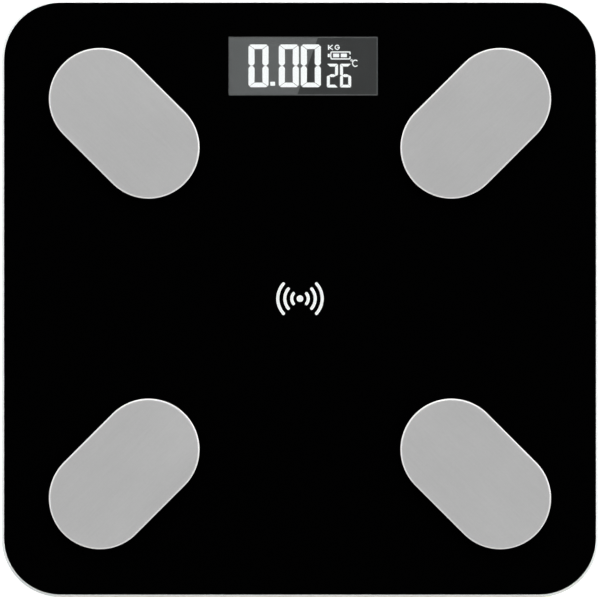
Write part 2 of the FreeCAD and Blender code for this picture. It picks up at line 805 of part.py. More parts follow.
pad(
    base,
    "hinge_block",
    FLOOR_TOP,
    f"{HINGE_Z} + {TROUGH} + box_wall - {FLOOR_TOP}",
    lambda sk: rectangle(
        sk,
        f"-({DOOR_X} + door_clearance + pin_length + box_wall)",
        f"{DOOR_X} + door_clearance + pin_length + box_wall",
        f"{HINGE_Y} - {TROUGH} - box_wall",
        f"{BATTERY_Y} - {BOX_Y} - box_wall / 2",
    ),
)
pad(
    base,
    "latch_block",
    FLOOR_TOP,
    f"{LATCH_BOX_TOP} + box_wall / 2 - {FLOOR_TOP}",
    lambda sk: rectangle(
        sk,
        "-(latch_width / 2 + door_clearance + box_wall)",
        "latch_width / 2 + door_clearance + box_wall",
        f"{BATTERY_Y} + {BOX_Y} + box_wall / 2",
        f"{LATCH_BOX_REAR} + box_wall",
    ),
)
pad(
    base,
    "button_guide",
    FLOOR_TOP,
    "unit_button_travel + 1.5",
    lambda sk: circle(sk, UNIT_X, UNIT_Y, f"({UNIT_RADIUS} + 4)"),
)
cut(
    base,
    "ring_seats",
    BASE_BOTTOM,
    "ring_seat",
    lambda sk: each_foot(sk, f"({RING_RADIUS} + ring_slack)"),
)
cut(
    base,
    "ear_seats",
    BASE_BOTTOM,
    "ring_seat",
    lambda sk: each_ear(sk, "(ring_ear_diameter / 2 + ring_slack)"),
)
cut(
    base,
    "foot_wells",
    BASE_BOTTOM,
    f"{WELL_TOP} - {BASE_BOTTOM}",
    lambda sk: each_foot(sk, WELL_RADIUS),
)
cut(
    base,
    "tongue_rooms",
    WELL_TOP,
    "tongue_lift",
    lambda sk: each_foot(sk, "(tongue_length / 2 + tongue_slot + 1)"),
)
cut(
    base,
    "tower_hollows",
    TOWER_HOLLOW,
    f"{BASE_TOP} - {TOWER_HOLLOW}",
    lambda sk: each_foot(sk, WELL_RADIUS),
)
cut(
    base,
    "ring_pilots",
    RING_TOP,
    "screw_length - 1",
    lambda sk: each_ear(sk, "(screw_diameter / 2 + fastener_clearance)"),
)
cut(base, "lead_slots", f"{CELL_BOTTOM} - 1.3 * lead_diameter", "1.5 * lead_diameter", lead_slots)
cut(
    base,
    "board_pilots",
    f"{BOARD_BOTTOM} - screw_length",
    "screw_length",
    lambda sk: board_holes(sk, "(screw_diameter / 2 + fastener_clearance)"),
)
cut(
    base,
    "battery_room",
    BASE_BOTTOM,
    f"{BOX_TOP} - {BASE_BOTTOM}",
    lambda sk: rectangle(
        sk, f"-{BOX_X}", BOX_X, f"{BATTERY_Y} - {BOX_Y}", f"{BATTERY_Y} + {BOX_Y}"
    ),
)
cut(
    base,
    "door_rebate",
    BASE_BOTTOM,
    "door_thickness + door_clearance / 3",
    lambda sk: rectangle(
        sk,
        f"-({DOOR_X} + door_clearance)",
        f"{DOOR_X} + door_clearance",
        HINGE_Y,
        f"{DOOR_REAR} + door_clearance",
    ),
)
cut(
    base,
    "hinge_trough",
    BASE_BOTTOM,
    f"{HINGE_Z} + {TROUGH} - {BASE_BOTTOM}",
    lambda sk: rectangle(
        sk,
        f"-({DOOR_X} + door_clearance)",
        f"{DOOR_X} + door_clearance",
        f"{HINGE_Y} - {TROUGH}",
        f"{HINGE_Y} + {TROUGH}",
    ),
)
cut(
    base,
    "pin_sockets",
    f"-({DOOR_X} + pin_length + 2 * door_clearance)",
    f"2 * ({DOOR_X} + pin_length + 2 * door_clearance)",
    lambda sk: circle(sk, HINGE_Y, HINGE_Z, "(pin_diameter / 2 + pin_clearance)"),
    "YZ_Plane",
)
cut(
    base,
    "latch_opening",
    BASE_BOTTOM,
    "base_floor",
    lambda sk: rectangle(
        sk,
        "-(latch_width / 2 + door_clearance)",
        "latch_width / 2 + door_clearance",
        f"{BATTERY_Y} + {BOX_Y}",
        KEEPER,
    ),
)
cut(
    base,
    "latch_room",
    FLOOR_TOP,
    f"{LATCH_BOX_TOP} - {FLOOR_TOP}",
    lambda sk: rectangle(
        sk,
        "-(latch_width / 2 + door_clearance)",
        "latch_width / 2 + door_clearance",
        f"{BATTERY_Y} + {BOX_Y}",
        LATCH_BOX_REAR,
    ),
)
cut(
    base,
    "finger_notch",
    BASE_BOTTOM,
    "notch_depth",
    lambda sk: circle(sk, "0", KEEPER, "notch_diameter / 2"),
)
cut(
    base,
    "button_room",
    FLOOR_TOP,
    "unit_button_travel + 1.5",
    lambda sk: circle(sk, UNIT_X, UNIT_Y, f"({UNIT_RADIUS} + 2.4)"),
)
cut(
    base,
    "button_hole",
    BASE_BOTTOM,
    "base_floor",
    lambda sk: circle(sk, UNIT_X, UNIT_Y, f"({UNIT_RADIUS} + door_clearance)"),
)
TAB_Z = f"({RIB_TOP} + lead_deck + 2.1 * lead_diameter)"


def tab_slots(sk):
    """A slot through the battery box's right wall for each contact's tab."""
    for sign in (-1, 1):
        y = f"({BATTERY_Y} + {sign} * (cell_diameter + cell_gap) / 2)"
        rectangle(sk, f"{y} - 1.2", f"{y} + 1.2", f"{TAB_Z} - 0.4", f"{TAB_Z} + 0.4")


cut(base, "tab_slots", BOX_X, "box_wall", tab_slots, "YZ_Plane")
cut(
    base,
    "label_seat",
    BASE_BOTTOM,
    "label_thickness",
    lambda sk: rounded_rectangle(
        sk,
        "-(label_width / 2 + 0.3)",
        "label_width / 2 + 0.3",
        f"{LABEL_Y} - label_depth / 2 - 0.3",
        f"{LABEL_Y} + label_depth / 2 + 0.3",
        "2.3",
    ),
)

label = new_body("rating_label")
pad(
    label,
    "sheet",
    BASE_BOTTOM,
    "label_thickness",
    lambda sk: rounded_rectangle(
        sk,
        "-label_width / 2",
        "label_width / 2",
        f"{LABEL_Y} - label_depth / 2",
        f"{LABEL_Y} + label_depth / 2",
        "2",
    ),
)

# ------------------------------------------------------------------------- feet
PAD_RADIUS = f"({FOOT_RADIUS} - foot_rim)"
SEAT_BOTTOM = "(foot_pad_thickness - foot_pad_recess)"
CUP_FLOOR = "(foot_pad_thickness + foot_wall)"
CUP_INNER = f"({FOOT_RADIUS} - foot_wall)"
BOSS_RADIUS = "(foot_boss_diameter / 2)"

for name in CORNERS:
    cup = new_body("foot_cup_" + name)
    revolve(
        cup,
        "cup",
        [
            ("0", "foot_pad_thickness"),
            (f"{PAD_RADIUS} + 0.1", "foot_pad_thickness"),
            (f"{PAD_RADIUS} + 0.1", SEAT_BOTTOM),
            (f"{FOOT_RADIUS} - 0.6", SEAT_BOTTOM),
            (FOOT_RADIUS, f"{SEAT_BOTTOM} + 0.6"),
            (FOOT_RADIUS, FLANGE_BOTTOM),
            (FOOT_FLANGE_RADIUS, FLANGE_BOTTOM),
            (FOOT_FLANGE_RADIUS, FOOT_TOP),
            (CUP_INNER, FOOT_TOP),
            (CUP_INNER, CUP_FLOOR),
            (BOSS_RADIUS, CUP_FLOOR),
            (BOSS_RADIUS, f"{BOSS_TOP} - 0.5"),
            (f"{BOSS_RADIUS} - 0.5", BOSS_TOP),
            ("0", BOSS_TOP),
        ],
    )
    place_at_foot(cup, name)

    sole = new_body("foot_pad_" + name)
    grooves = [("0", "0")]
    for i in (1, 2, 3):
        middle = f"({PAD_RADIUS} * {i} / 4)"
        grooves += [
            (f"{middle} - 0.9", "0"),
            (f"{middle} - 0.5", "0.5"),
            (f"{middle} + 0.5", "0.5"),
            (f"{middle} + 0.9", "0"),
        ]
    revolve(
        sole,
        "pad",
        grooves
        + [
            (f"{PAD_RADIUS} - 0.5", "0"),
            (PAD_RADIUS, "0.5"),
            (PAD_RADIUS, "foot_pad_thickness"),
            ("0", "foot_pad_thickness"),
        ],
    )
    place_at_foot(sole, name)

    ring = new_body("foot_ring_" + name)
    ring_bottom = f"({BASE_BOTTOM} - ring_drop)"
    ring_height = "ring_drop + ring_seat"

    def ear_circle(sk, angle, radius):
        """A circle about one of the ring's screws, in the foot's own frame."""
        circle(
            sk,
            f"{EAR_RADIUS} * cos({angle} deg)",
            f"{EAR_RADIUS} * sin({angle} deg)" if angle != 180 else "0",
            radius,
        )

    pad(ring, "disc", ring_bottom, ring_height, lambda sk: circle(sk, "0", "0", RING_RADIUS))
    for angle in EAR_ANGLES:
        pad(
            ring,
            f"ear_{angle % 360}",
            ring_bottom,
            ring_height,
            lambda sk: ear_circle(sk, angle, "ring_ear_diameter / 2"),
        )
    dress(ring, "Chamfer", "rim", level_edge(ring_bottom), "0.4")
    cut(
        ring,
        "opening",
        ring_bottom,
        ring_height,
        lambda sk: circle(sk, "0", "0", f"({FOOT_RADIUS} + foot_gap)"),
    )
    for kind, depth, radius in (
        ("holes", ring_height, "(screw_diameter / 2 + fastener_clearance)"),
        ("sinks", "screw_head_height", "(screw_head_diameter / 2 + fastener_clearance)"),
    ):
        cut(
            ring,
            "screw_" + kind,
            ring_bottom,
            depth,
            lambda sk: [ear_circle(sk, angle, radius) for angle in EAR_ANGLES],
        )
    place_at_foot(ring, name)

    cell = new_body("load_cell_" + name)
    half = "(load_cell_width / 2)"
    pad(
        cell,
        "plate",
        CELL_BOTTOM,
        "load_cell_thickness",
        lambda sk: rounded_rectangle(sk, f"-{half}", half, f"-{half}", half, "load_cell_corner"),
    )
    tip, root, side = "(-tongue_length / 2)", "(tongue_length / 2)", "(tongue_width / 2)"
    cut(
        cell,
        "slot",
        CELL_BOTTOM,
        "load_cell_thickness",
        lambda sk: polygon(
            sk,
            [
                (root, side),
                (tip, side),
                (tip, f"-{side}"),
                (root, f"-{side}"),
                (root, f"-({side} + tongue_slot)"),
                (f"{tip} - tongue_slot", f"-({side} + tongue_slot)"),
                (f"{tip} - tongue_slot", f"{side} + tongue_slot"),
                (root, f"{side} + tongue_slot"),
            ],
        ),
    )
    pad(
        cell,
        "button",
        f"{CELL_BOTTOM} - button_height",
        "button_height",
        lambda sk: circle(sk, "0", "0", "3"),
    )
    place_at_foot(cell, name)

# ------------------------------------------------------- display and electronics
LCD_FRONT, LCD_REAR = f"({WINDOW_Y} - {LCD_Y})", f"({WINDOW_Y} + {LCD_Y})"


def display_rectangle(sk, grow="0", front="0"):
    """The display's outline, grown all round, its front edge moved back."""
    rectangle(
        sk,
        f"{WINDOW_X} - {LCD_X} - {grow}",
        f"{WINDOW_X} + {LCD_X} + {grow}",
        f"{LCD_FRONT} - {grow} + {front}",
        f"{LCD_REAR} + {grow}",
    )


lcd = new_body("lcd_cell")
pad(lcd, "cell", LCD_BOTTOM, "lcd_thickness", display_rectangle)
light = new_body("lcd_backlight")
pad(
    light,
    "guide",
    BACKLIGHT_BOTTOM,
    "backlight_thickness",
    lambda sk: display_rectangle(sk, "0", "lcd_ledge"),
)
holder = new_body("lcd_frame")
pad(
    holder,
    "frame",
    BOARD_TOP,
    f"{PRINT_BOTTOM} - {BOARD_TOP}",
    lambda sk: display_rectangle(sk, "(frame_clearance + frame_wall)"),
)
cut(
    holder,
    "opening",
    BOARD_TOP,
    f"{PRINT_BOTTOM} - {BOARD_TOP}",
    lambda sk: display_rectangle(sk, "frame_clearance"),
)
strip = new_body("lcd_contact_strip")
pad(
    strip,
    "strip",
    BOARD_TOP,
    f"{LCD_BOTTOM} - {BOARD_TOP}",
    lambda sk: rectangle(
        sk,
        f"{WINDOW_X} - window_width / 2",
        f"{WINDOW_X} + window_width / 2",
        f"{LCD_FRONT} + 0.1",
        f"{LCD_FRONT} + lcd_ledge - 0.1",
    ),
)

board = new_body("main_board")
pad(
    board,
    "laminate",
    BOARD_BOTTOM,
    "board_thickness",
    lambda sk: rounded_rectangle(
        sk,
        f"{WINDOW_X} - board_width / 2",
        f"{WINDOW_X} + board_width / 2",
        f"{BOARD_Y} - board_depth / 2",
        f"{BOARD_Y} + board_depth / 2",
        "1.5",
    ),
)
cut(
    board,
    "screw_holes",
    BOARD_BOTTOM,
    "board_thickness",
    lambda sk: board_holes(sk, "(screw_diameter / 2 + fastener_clearance)"),
)

switch = new_body("unit_switch")
pad(
    switch,
    "housing",
    SWITCH_BOTTOM,
    "switch_height",
    lambda sk: rectangle(
        sk,
        f"{UNIT_X} - switch_width / 2",
        f"{UNIT_X} + switch_width / 2",
        f"{UNIT_Y} - switch_width / 2",
        f"{UNIT_Y} + switch_width / 2",
    ),
)
cut(
    switch,
    "bore",
    SWITCH_BOTTOM,
    "2 * plunger_reach + unit_button_travel",
    lambda sk: circle(sk, UNIT_X, UNIT_Y, "(plunger_diameter / 2 + fastener_clearance)"),
)
plunger = new_body("unit_switch_plunger")
pad(
    plunger,
    "pin",
    PLUNGER_BOTTOM,
    "2 * plunger_reach + 0.1",
    lambda sk: circle(sk, UNIT_X, UNIT_Y, "plunger_diameter / 2"),
)
button = new_body("unit_button")
pad(
    button,
    "cap",
    f"({BASE_BOTTOM} + 0.2)",
    f"{FLOOR_TOP} + ring_slack - {BASE_BOTTOM} - 0.2",
    lambda sk: circle(sk, UNIT_X, UNIT_Y, UNIT_RADIUS),
)
dress(button, "Fillet", "round", level_edge(f"{BASE_BOTTOM} + 0.2"), "0.6")
pad(
    button,
    "flange",
    f"{FLOOR_TOP} + ring_slack",
    "1",
    lambda sk: circle(sk, UNIT_X, UNIT_Y, f"({UNIT_RADIUS} + 2)"),
)
pad(
    button,
    "stem",
    f"{FLOOR_TOP} + ring_slack + 1",
    f"{PLUNGER_BOTTOM} - {FLOOR_TOP} - ring_slack - 1",
    lambda sk: circle(sk, UNIT_X, UNIT_Y, f"({UNIT_RADIUS} / 2)"),
)

# ---------------------------------------------------------------- battery and door
for name, sign in (("rear", 1), ("front", -1)):
    battery = new_body("battery_cell_" + name)
    y = f"({BATTERY_Y} + {sign} * (cell_diameter + cell_gap) / 2)"
    contact = f"({BOX_X} - contact_thickness)"
    start = f"(-{contact} + 0.8)" if sign > 0 else f"({contact} - cell_length)"
    pad(
        battery,
        "can",
        start,
        "cell_length - 0.8",
        lambda sk: circle(sk, y, CELL_AXIS, "cell_diameter / 2"),
        "YZ_Plane",
    )
    dress(battery, "Fillet", "crimp", lambda edge: edge.BoundBox.XLength < SMALL, "0.4")
    pad(
        battery,
        "cap",
        f"-{contact}" if sign > 0 else f"({contact} - 0.8)",
        "0.8",
        lambda sk: circle(sk, y, CELL_AXIS, "cell_diameter / 5"),
        "YZ_Plane",
    )

door = new_body("battery_door")
pad(
    door,
    "panel",
    BASE_BOTTOM,
    "door_thickness",
    lambda sk: rounded_rectangle(sk, f"-{DOOR_X}", DOOR_X, HINGE_Y, DOOR_REAR, "1.5"),
)
cut(
    door,
    "arrow",
    BASE_BOTTOM,
    "door_thickness / 4",
    lambda sk: polygon(
        sk,
        [
            ("0", f"{DOOR_REAR} - 9"),
            ("4", f"{DOOR_REAR} - 4"),
            ("-4", f"{DOOR_REAR} - 4"),
        ],
    ),
)
pad(
    door,
    "knuckle",
    f"-{DOOR_X}",
    f"2 * {DOOR_X}",
    lambda sk: circle(sk, HINGE_Y, HINGE_Z, "(knuckle_radius - 0.05)"),
    "YZ_Plane",
)
pad(
    door,
    "pins",
    f"-({DOOR_X} + pin_length)",
    f"2 * ({DOOR_X} + pin_length)",
    lambda sk: circle(sk, HINGE_Y, HINGE_Z, "pin_diameter / 2"),
    "YZ_Plane",
)

latch = new_body("battery_door_latch")
START, WIDTH = "-latch_width / 2", "latch_width"
BEND_Y = f"({DOOR_REAR} + latch_bend)"
pad(
    latch,
    "bend",
    START,
    WIDTH,
    lambda sk: circle(sk, BEND_Y, LATCH_BEND_Z, "(latch_bend + latch_thickness)"),
    "YZ_Plane",
)
cut(
    latch,
    "bend_inside",
    START,
    WIDTH,
    lambda sk: circle(sk, BEND_Y, LATCH_BEND_Z, "latch_bend"),
    "YZ_Plane",
)
cut(
    latch,
    "bend_below",
    START,
    WIDTH,
    lambda sk: rectangle(
        sk,
        f"{LATCH_INNER} - 1",
        f"{LATCH_OUTER} + 1",
        f"{LATCH_BEND_Z} - latch_bend - latch_thickness - 1",
        LATCH_BEND_Z,
    ),
    "YZ_Plane",
)
pad(
    latch,
    "inner_leg",
    START,
    WIDTH,
    lambda sk: rectangle(sk, LATCH_INNER, DOOR_REAR, DOOR_TOP, LATCH_BEND_Z),
    "YZ_Plane",
)
pad(
    latch,
    "outer_leg",
    START,
    WIDTH,
    lambda sk: polygon(
        sk,
        [
            (f"{LATCH_OUTER} - latch_thickness", f"{BASE_BOTTOM} + 0.2"),
            (LATCH_OUTER, f"{BASE_BOTTOM} + 0.2"),
            (LATCH_OUTER, f"{FLOOR_TOP} + 0.1"),
            (f"{LATCH_OUTER} + hook_reach", f"{FLOOR_TOP} + 0.1"),
            (f"{LATCH_OUTER} + hook_reach", f"{FLOOR_TOP} + 0.4"),
            (LATCH_OUTER, f"{FLOOR_TOP} + 1.6"),
            (LATCH_OUTER, LATCH_BEND_Z),
            (f"{LATCH_OUTER} - latch_thickness", LATCH_BEND_Z),
        ],
    ),
    "YZ_Plane",
)

# ------------------------------------------------ small parts made in groups (Part)
def stud_spots():
    """Stud centre and the direction towards the platform's middle, for each corner."""
    for name, (sx, sy) in CORNERS.items():
        x, y = stud_place(name)
        yield size(x), size(y), math.degrees(math.atan2(-sy, -sx))


def foot_spots():
    """Foot centre and its inward direction, for each corner."""
    for name, (sx, sy) in CORNERS.items():
        yield size(f"{sx} * {FOOT_X}"), size(f"{sy} * {FOOT_Y}"), (
            math.degrees(math.atan2(-sy, -sx))
        )


def stadium(length, width, z0, z1):
    """A flat stadium along X about the origin."""
    reach = (length - width) / 2
    bar = block(-reach, reach, -width / 2, width / 2, z0, z1)
    ends = [disc(width / 2, z0, z1, x) for x in (-reach, reach)]
    return bar.fuse(ends).removeSplitter()


stud_hole = size("stud_hole_diameter / 2")
stud_bore = size("stud_diameter / 2 + fastener_clearance")
glue = stadium(
    size("electrode_length - 2 * adhesive_inset"),
    size("electrode_width - 2 * adhesive_inset"),
    size(GLASS_TOP),
    size(ELECTRODE_BOTTOM),
).cut(disc(stud_hole, size(GLASS_TOP), size(ELECTRODE_BOTTOM), size("stud_offset")))
glue_pads = []
for sx, sy in CORNERS.values():
    x = size(f"{sx} * (platform_width / 2 - electrode_inset_x)")
    y = size(f"{sy} * (platform_depth / 2 - electrode_inset_y)")
    glue_pads.append(at(glue, x, y, 0, math.degrees(math.atan2(-sy, -sx))))
feature("electrode_adhesive", glue_pads)

washer_bottom = size(f"{PRINT_BOTTOM} - washer_thickness")
washer = disc(size("washer_diameter / 2"), washer_bottom, size(PRINT_BOTTOM)).cut(
    disc(stud_bore, washer_bottom, size(PRINT_BOTTOM))
)
feature("electrode_washers", [at(washer, x, y) for x, y, _ in stud_spots()])

tag_bottom = size(TERMINAL_Z)
tag_radius = size("terminal_diameter / 2")
tag_end = tag_radius + 3.2
tag = disc(tag_radius, tag_bottom, washer_bottom)
tag = tag.fuse(block(0, tag_end, -1.1, 1.1, tag_bottom, washer_bottom))
barrel_z = tag_bottom - 0.3
barrel = Part.makeCylinder(1.1, 3.4, Vector(tag_end - 0.4, 0, barrel_z), Vector(1, 0, 0))
barrel = barrel.cut(
    Part.makeCylinder(
        size("lead_diameter / 2 + fastener_clearance"),
        2.6,
        Vector(tag_end + 0.4, 0, barrel_z),
        Vector(1, 0, 0),
    )
)
tag = tag.fuse(barrel).cut(disc(stud_bore, tag_bottom - 1, washer_bottom + 1))
feature("electrode_terminals", [at(tag, x, y, 0, a) for x, y, a in stud_spots()])

nut_top = tag_bottom
nut_bottom = nut_top - size("nut_thickness")
across = size("nut_width") / 2 / math.cos(math.pi / 6)
hexagon = [
    Vector(across * math.cos(math.pi / 3 * k), across * math.sin(math.pi / 3 * k), nut_bottom)
    for k in range(7)
]
nut = Part.Face(Part.makePolygon(hexagon)).extrude(Vector(0, 0, nut_top - nut_bottom))
cone = Part.makeCone(
    across - 0.35,
    across - 0.35 + (nut_top - nut_bottom) * 1.2,
    nut_top - nut_bottom,
    Vector(0, 0, nut_bottom),
)
nut = nut.common(cone).cut(disc(stud_bore, nut_bottom, nut_top))
feature("electrode_nuts", [at(nut, x, y) for x, y, _ in stud_spots()])

band = disc(size(TOWER_RADIUS), size(BASE_TOP), size(PRINT_BOTTOM)).cut(
    disc(size(WELL_RADIUS), size(BASE_TOP), size(PRINT_BOTTOM))
)
feature("bond_tape_rings", [at(band, x, y) for x, y, _ in foot_spots()])


def screw(top_down):
    """A pan-head screw along Z with its head's seat at the origin, shank up or down."""
    head, height = size("screw_head_diameter / 2"), size("screw_head_height")
    shank = size("screw_length") - 0.8
    body = disc(head, 0, height)
    top = [e for e in body.Edges if abs(e.BoundBox.ZMin - height) < SMALL and e.Closed]
    body = body.makeFillet(0.35, top).fuse(disc(size("screw_diameter / 2"), -shank, 0))
    for turn in (0, 90):
        bit = block(-head * 0.55, head * 0.55, -0.25, 0.25, height - 0.6, height + 1)
        body = body.cut(at(bit, 0, 0, 0, turn))
    if not top_down:
        body.rotate(Vector(), Vector(1, 0, 0), 180)
    return body


ring_screw = screw(top_down=False)
seat = size(f"{BASE_BOTTOM} - ring_drop + screw_head_height")
ring_screws = []
for name in CORNERS:
    for angle in EAR_ANGLES:
        x, y = corner_place(name, EAR_RADIUS, angle)
        ring_screws.append(at(ring_screw, size(x), size(y), seat))
feature("foot_ring_screws", ring_screws)

board_screw = screw(top_down=True)
feature(
    "board_screws",
    [
        at(
            board_screw,
            size(f"{WINDOW_X} + {sx} * (board_width / 2 - board_hole_inset)"),
            size(f"{BOARD_Y} + {sy} * (board_depth / 2 - board_hole_inset)"),
            size(BOARD_TOP),
        )
        for sx in (-1, 1)
        for sy in (-1, 1)
    ],
)

COAT_START, COAT_END = size("tongue_length / 2 - 3"), size("tongue_length / 2 + 3")
coat_bottom = size(f"{CELL_BOTTOM} - lead_diameter - 0.05")
coat = block(COAT_START, COAT_END, -3.5, 3.5, coat_bottom, size(CELL_BOTTOM))
lower = [e for e in coat.Edges if abs(e.BoundBox.ZMax - coat_bottom) < SMALL]
upright = [e for e in coat.Edges if e.BoundBox.ZLength > 0.5]
coat = coat.makeFillet(0.4, lower + upright)
feature("gauge_coats", [at(coat, x, y, 0, a) for x, y, a in foot_spots()])

# Parts on the board: position from the board's middle, width, depth and height.
UNDER = (
    (-6, 2, 10, 10, 1.2),
    (-12.5, -8, 3.2, 1.6, 0.8),
    (-6, -9, 3.2, 1.6, 0.8),
    (0.5, -9, 3.2, 1.6, 0.8),
    (7, 8, 5, 4, 1.1),
    (6, -2, 3.2, 1.6, 0.8),
    (6, 2, 3.2, 1.6, 0.8),
    (-16, 6, 2, 6, 1.6),
    (-20, -12, 3.2, 1.6, 0.8),
)
middle_x, middle_y = size(WINDOW_X), size(BOARD_Y)
under, chips = size(BOARD_BOTTOM), []
for x, y, width, depth, height in UNDER:
    x, y = middle_x + x, middle_y + y
    chip = block(
        x - width / 2, x + width / 2, y - depth / 2, y + depth / 2, under - height, under
    )
    chips.append(chip.makeFillet(0.2, [e for e in chip.Edges if e.BoundBox.ZLength > 0.5]))
feature("board_chips", chips)

module_x = middle_x + size("board_width / 2") - 21
carrier = block(module_x - 9, module_x + 9, middle_y - 7, middle_y + 7, under - 0.8, under)
lid = block(
    module_x - 7.5, module_x + 4, middle_y - 6, middle_y + 6, under - 2.4, under - 0.8
)
lid_bottom = [e for e in lid.Edges if abs(e.BoundBox.ZMax - under + 2.4) < SMALL]
feature("wireless_module", [carrier.fuse(lid.makeFillet(0.4, lid_bottom))])

# ----------------------------------------------------------- connectors and leads
FRONT = size(f"{BOARD_Y} - board_depth / 2")
DECK = size(f"{RIB_TOP} + lead_deck")
PITCH = size("lead_pitch")
WIRE = size("lead_diameter / 2")
PLUG_Z = size(f"{BOARD_TOP} + connector_height / 2")
plug_width, plug_depth = size("connector_width"), size("connector_depth")
PLUGS = {"left": -33.0, "middle": 0.0, "battery": 16.0, "right": 33.0}
housings = []
for offset in PLUGS.values():
    x = middle_x + offset
    shell = block(
        x - plug_width / 2,
        x + plug_width / 2,
        FRONT,
        FRONT + plug_depth,
        size(BOARD_TOP),
        size(f"{BOARD_TOP} + connector_height"),
    )
    mouth = block(
        x - plug_width / 2 + 0.8,
        x + plug_width / 2 - 0.8,
        FRONT,
        FRONT + 0.8,
        PLUG_Z - 1.1,
        PLUG_Z + 1.1,
    )
    housings.append(shell.cut(mouth))
feature("board_connectors", housings)


def tube(points, bend, radius=WIRE):
    """A round lead through points: straight runs joined by arcs of the bend's radius."""
    points = [Vector(*p) for p in points]
    runs, last = [], points[0]
    for before, corner, after in zip(points, points[1:], points[2:]):
        back, ahead = (before - corner).normalize(), (after - corner).normalize()
        half = back.getAngle(ahead) / 2
        reach = bend / math.tan(half)
        enter, leave = corner + back * reach, corner + ahead * reach
        centre = corner + (back + ahead).normalize() * (bend / math.sin(half))
        run = enter - last
        runs.append(Part.makeCylinder(radius, run.Length, last, run))
        ring = Part.Face(Part.Wire([Part.makeCircle(radius, enter, back * -1)]))
        axis = (back * -1).cross(centre - enter)
        runs.append(ring.revolve(centre, axis, 180 - math.degrees(2 * half)))
        last = leave
    run = points[-1] - last
    runs.append(Part.makeCylinder(radius, run.Length, last, run))
    return runs[0].multiFuse(runs[1:])


def beside(path, offset):
    """A path of (x, y) points moved sideways to its left, its corners kept sharp."""
    sides = []
    for (x0, y0), (x1, y1) in zip(path, path[1:]):
        length = math.hypot(x1 - x0, y1 - y0)
        ux, uy = (x1 - x0) / length, (y1 - y0) / length
        sides.append((x0 - uy * offset, y0 + ux * offset, ux, uy))
    moved = [sides[0][:2]]
    for (ax, ay, ux, uy), (bx, by, vx, vy) in zip(sides, sides[1:]):
        turn = ux * vy - uy * vx
        along = ((bx - ax) * vy - (by - ay) * vx) / turn
        moved.append((ax + ux * along, ay + uy * along))
    x0, y0 = path[-1]
    ux, uy = sides[-1][2:]
    moved.append((x0 - uy * offset, y0 + ux * offset))
    return moved


def into_plug(path, level):
    """3-D points of a lead on its level, ending in a plug's mouth."""
    x, _ = path[-1]
    points = [(px, py, level) for px, py in path[:-1]]
    points += [(x, FRONT - 8, level), (x, FRONT - 3.5, PLUG_Z), (x, FRONT + 0.8, PLUG_Z)]
    return points


REAR_LANE = size(f"{FOOT_Y} - {RING_RADIUS} + 2")
FRONT_LANE = REAR_LANE - 5
SIDE_LANE = size(f"{FOOT_X} - {RING_RADIUS}")
SLOT_Z = size(f"{CELL_BOTTOM} - lead_diameter / 2 - 0.05")
foot_x, foot_y = size(FOOT_X), size(FOOT_Y)
coat_reach = COAT_END
clear = size(TOWER_RADIUS) + 3.2
cell_leads = []
for sx in (-1, 1):
    plug = middle_x + PLUGS["left" if sx < 0 else "right"]
    for sy in (-1, 1):
        # The lead leaves the foot along the diagonal, follows its lane, turns into the plug.
        step = math.sqrt(0.5)
        exit_x, exit_y = sx * (foot_x - clear * step), sy * (foot_y - clear * step)
        if sy > 0:
            lane = REAR_LANE
            bend_x = exit_x - sx * (exit_y - lane)
            plug_x = plug + sx * 1.5 * PITCH * 1.55
            path = [(exit_x, exit_y), (bend_x, lane), (plug_x, lane), (plug_x, FRONT)]
        else:
            bend_y = exit_y + (abs(exit_x) - SIDE_LANE)
            plug_x = plug - sx * 1.5 * PITCH * 1.55
            path = [
                (exit_x, exit_y),
                (sx * SIDE_LANE, bend_y),
                (sx * SIDE_LANE, FRONT_LANE),
                (plug_x, FRONT_LANE),
                (plug_x, FRONT),
            ]
        for k in (-1, 0, 1):
            moved = beside(path, k * PITCH)
            head = moved[0]
            ux, uy = -sx * step, -sy * step
            start = (
                head[0] - ux * (clear - coat_reach),
                head[1] - uy * (clear - coat_reach),
                SLOT_Z,
            )
            points = [start, (*head, SLOT_Z)] + into_plug(moved, DECK)
            cell_leads.append(tube(points, 1.6))
feature("load_cell_leads", cell_leads)

HIGH = barrel_z
electrode_leads = []
for x, y, turn in stud_spots():
    sx, sy = (1 if x > 0 else -1), (1 if y > 0 else -1)
    step = math.sqrt(0.5)
    reach = tag_end + 0.4
    start = (x - sx * reach * step, y - sy * reach * step)
    order = 1.5 if sy > 0 else 0.5
    plug_x = middle_x + PLUGS["middle"] + sx * order * 2 * PITCH
    lane = FRONT_LANE - (1.5 if sy > 0 else 4)
    if sy > 0:
        run = abs(start[1] - lane)
        path = [start, (start[0] - sx * run, lane), (plug_x, lane), (plug_x, FRONT)]
    else:
        side = SIDE_LANE - 7
        run = abs(start[0]) - side
        path = [
            start,
            (sx * side, start[1] + run),
            (sx * side, lane),
            (plug_x, lane),
            (plug_x, FRONT),
        ]
    electrode_leads.append(tube(into_plug(path, HIGH), 2.0))
feature("electrode_leads", electrode_leads)

# ------------------------------------------------------------- battery contacts
box_x, box_y = size(BOX_X), size(BATTERY_Y)
row_y = size("(cell_diameter + cell_gap) / 2")
axis_z = size(CELL_AXIS)
thick = size("contact_thickness")
tab_z = size(TAB_Z)
contacts = [
    block(-box_x, -box_x + thick, box_y - row_y - 4.5, box_y + row_y + 4.5, axis_z - 4.5, axis_z + 4.5)
]
tab_end = box_x + size("box_wall") + 1
for sign in (-1, 1):
    y = box_y + sign * row_y
    plate = block(box_x - thick, box_x, y - 4.5, y + 4.5, axis_z - 4.5, axis_z + 4.5)
    tab = block(box_x - thick / 2, tab_end, y - 1, y + 1, tab_z - 0.2, tab_z + 0.2)
    contacts.append(plate.fuse(tab))
feature("battery_contacts", contacts)

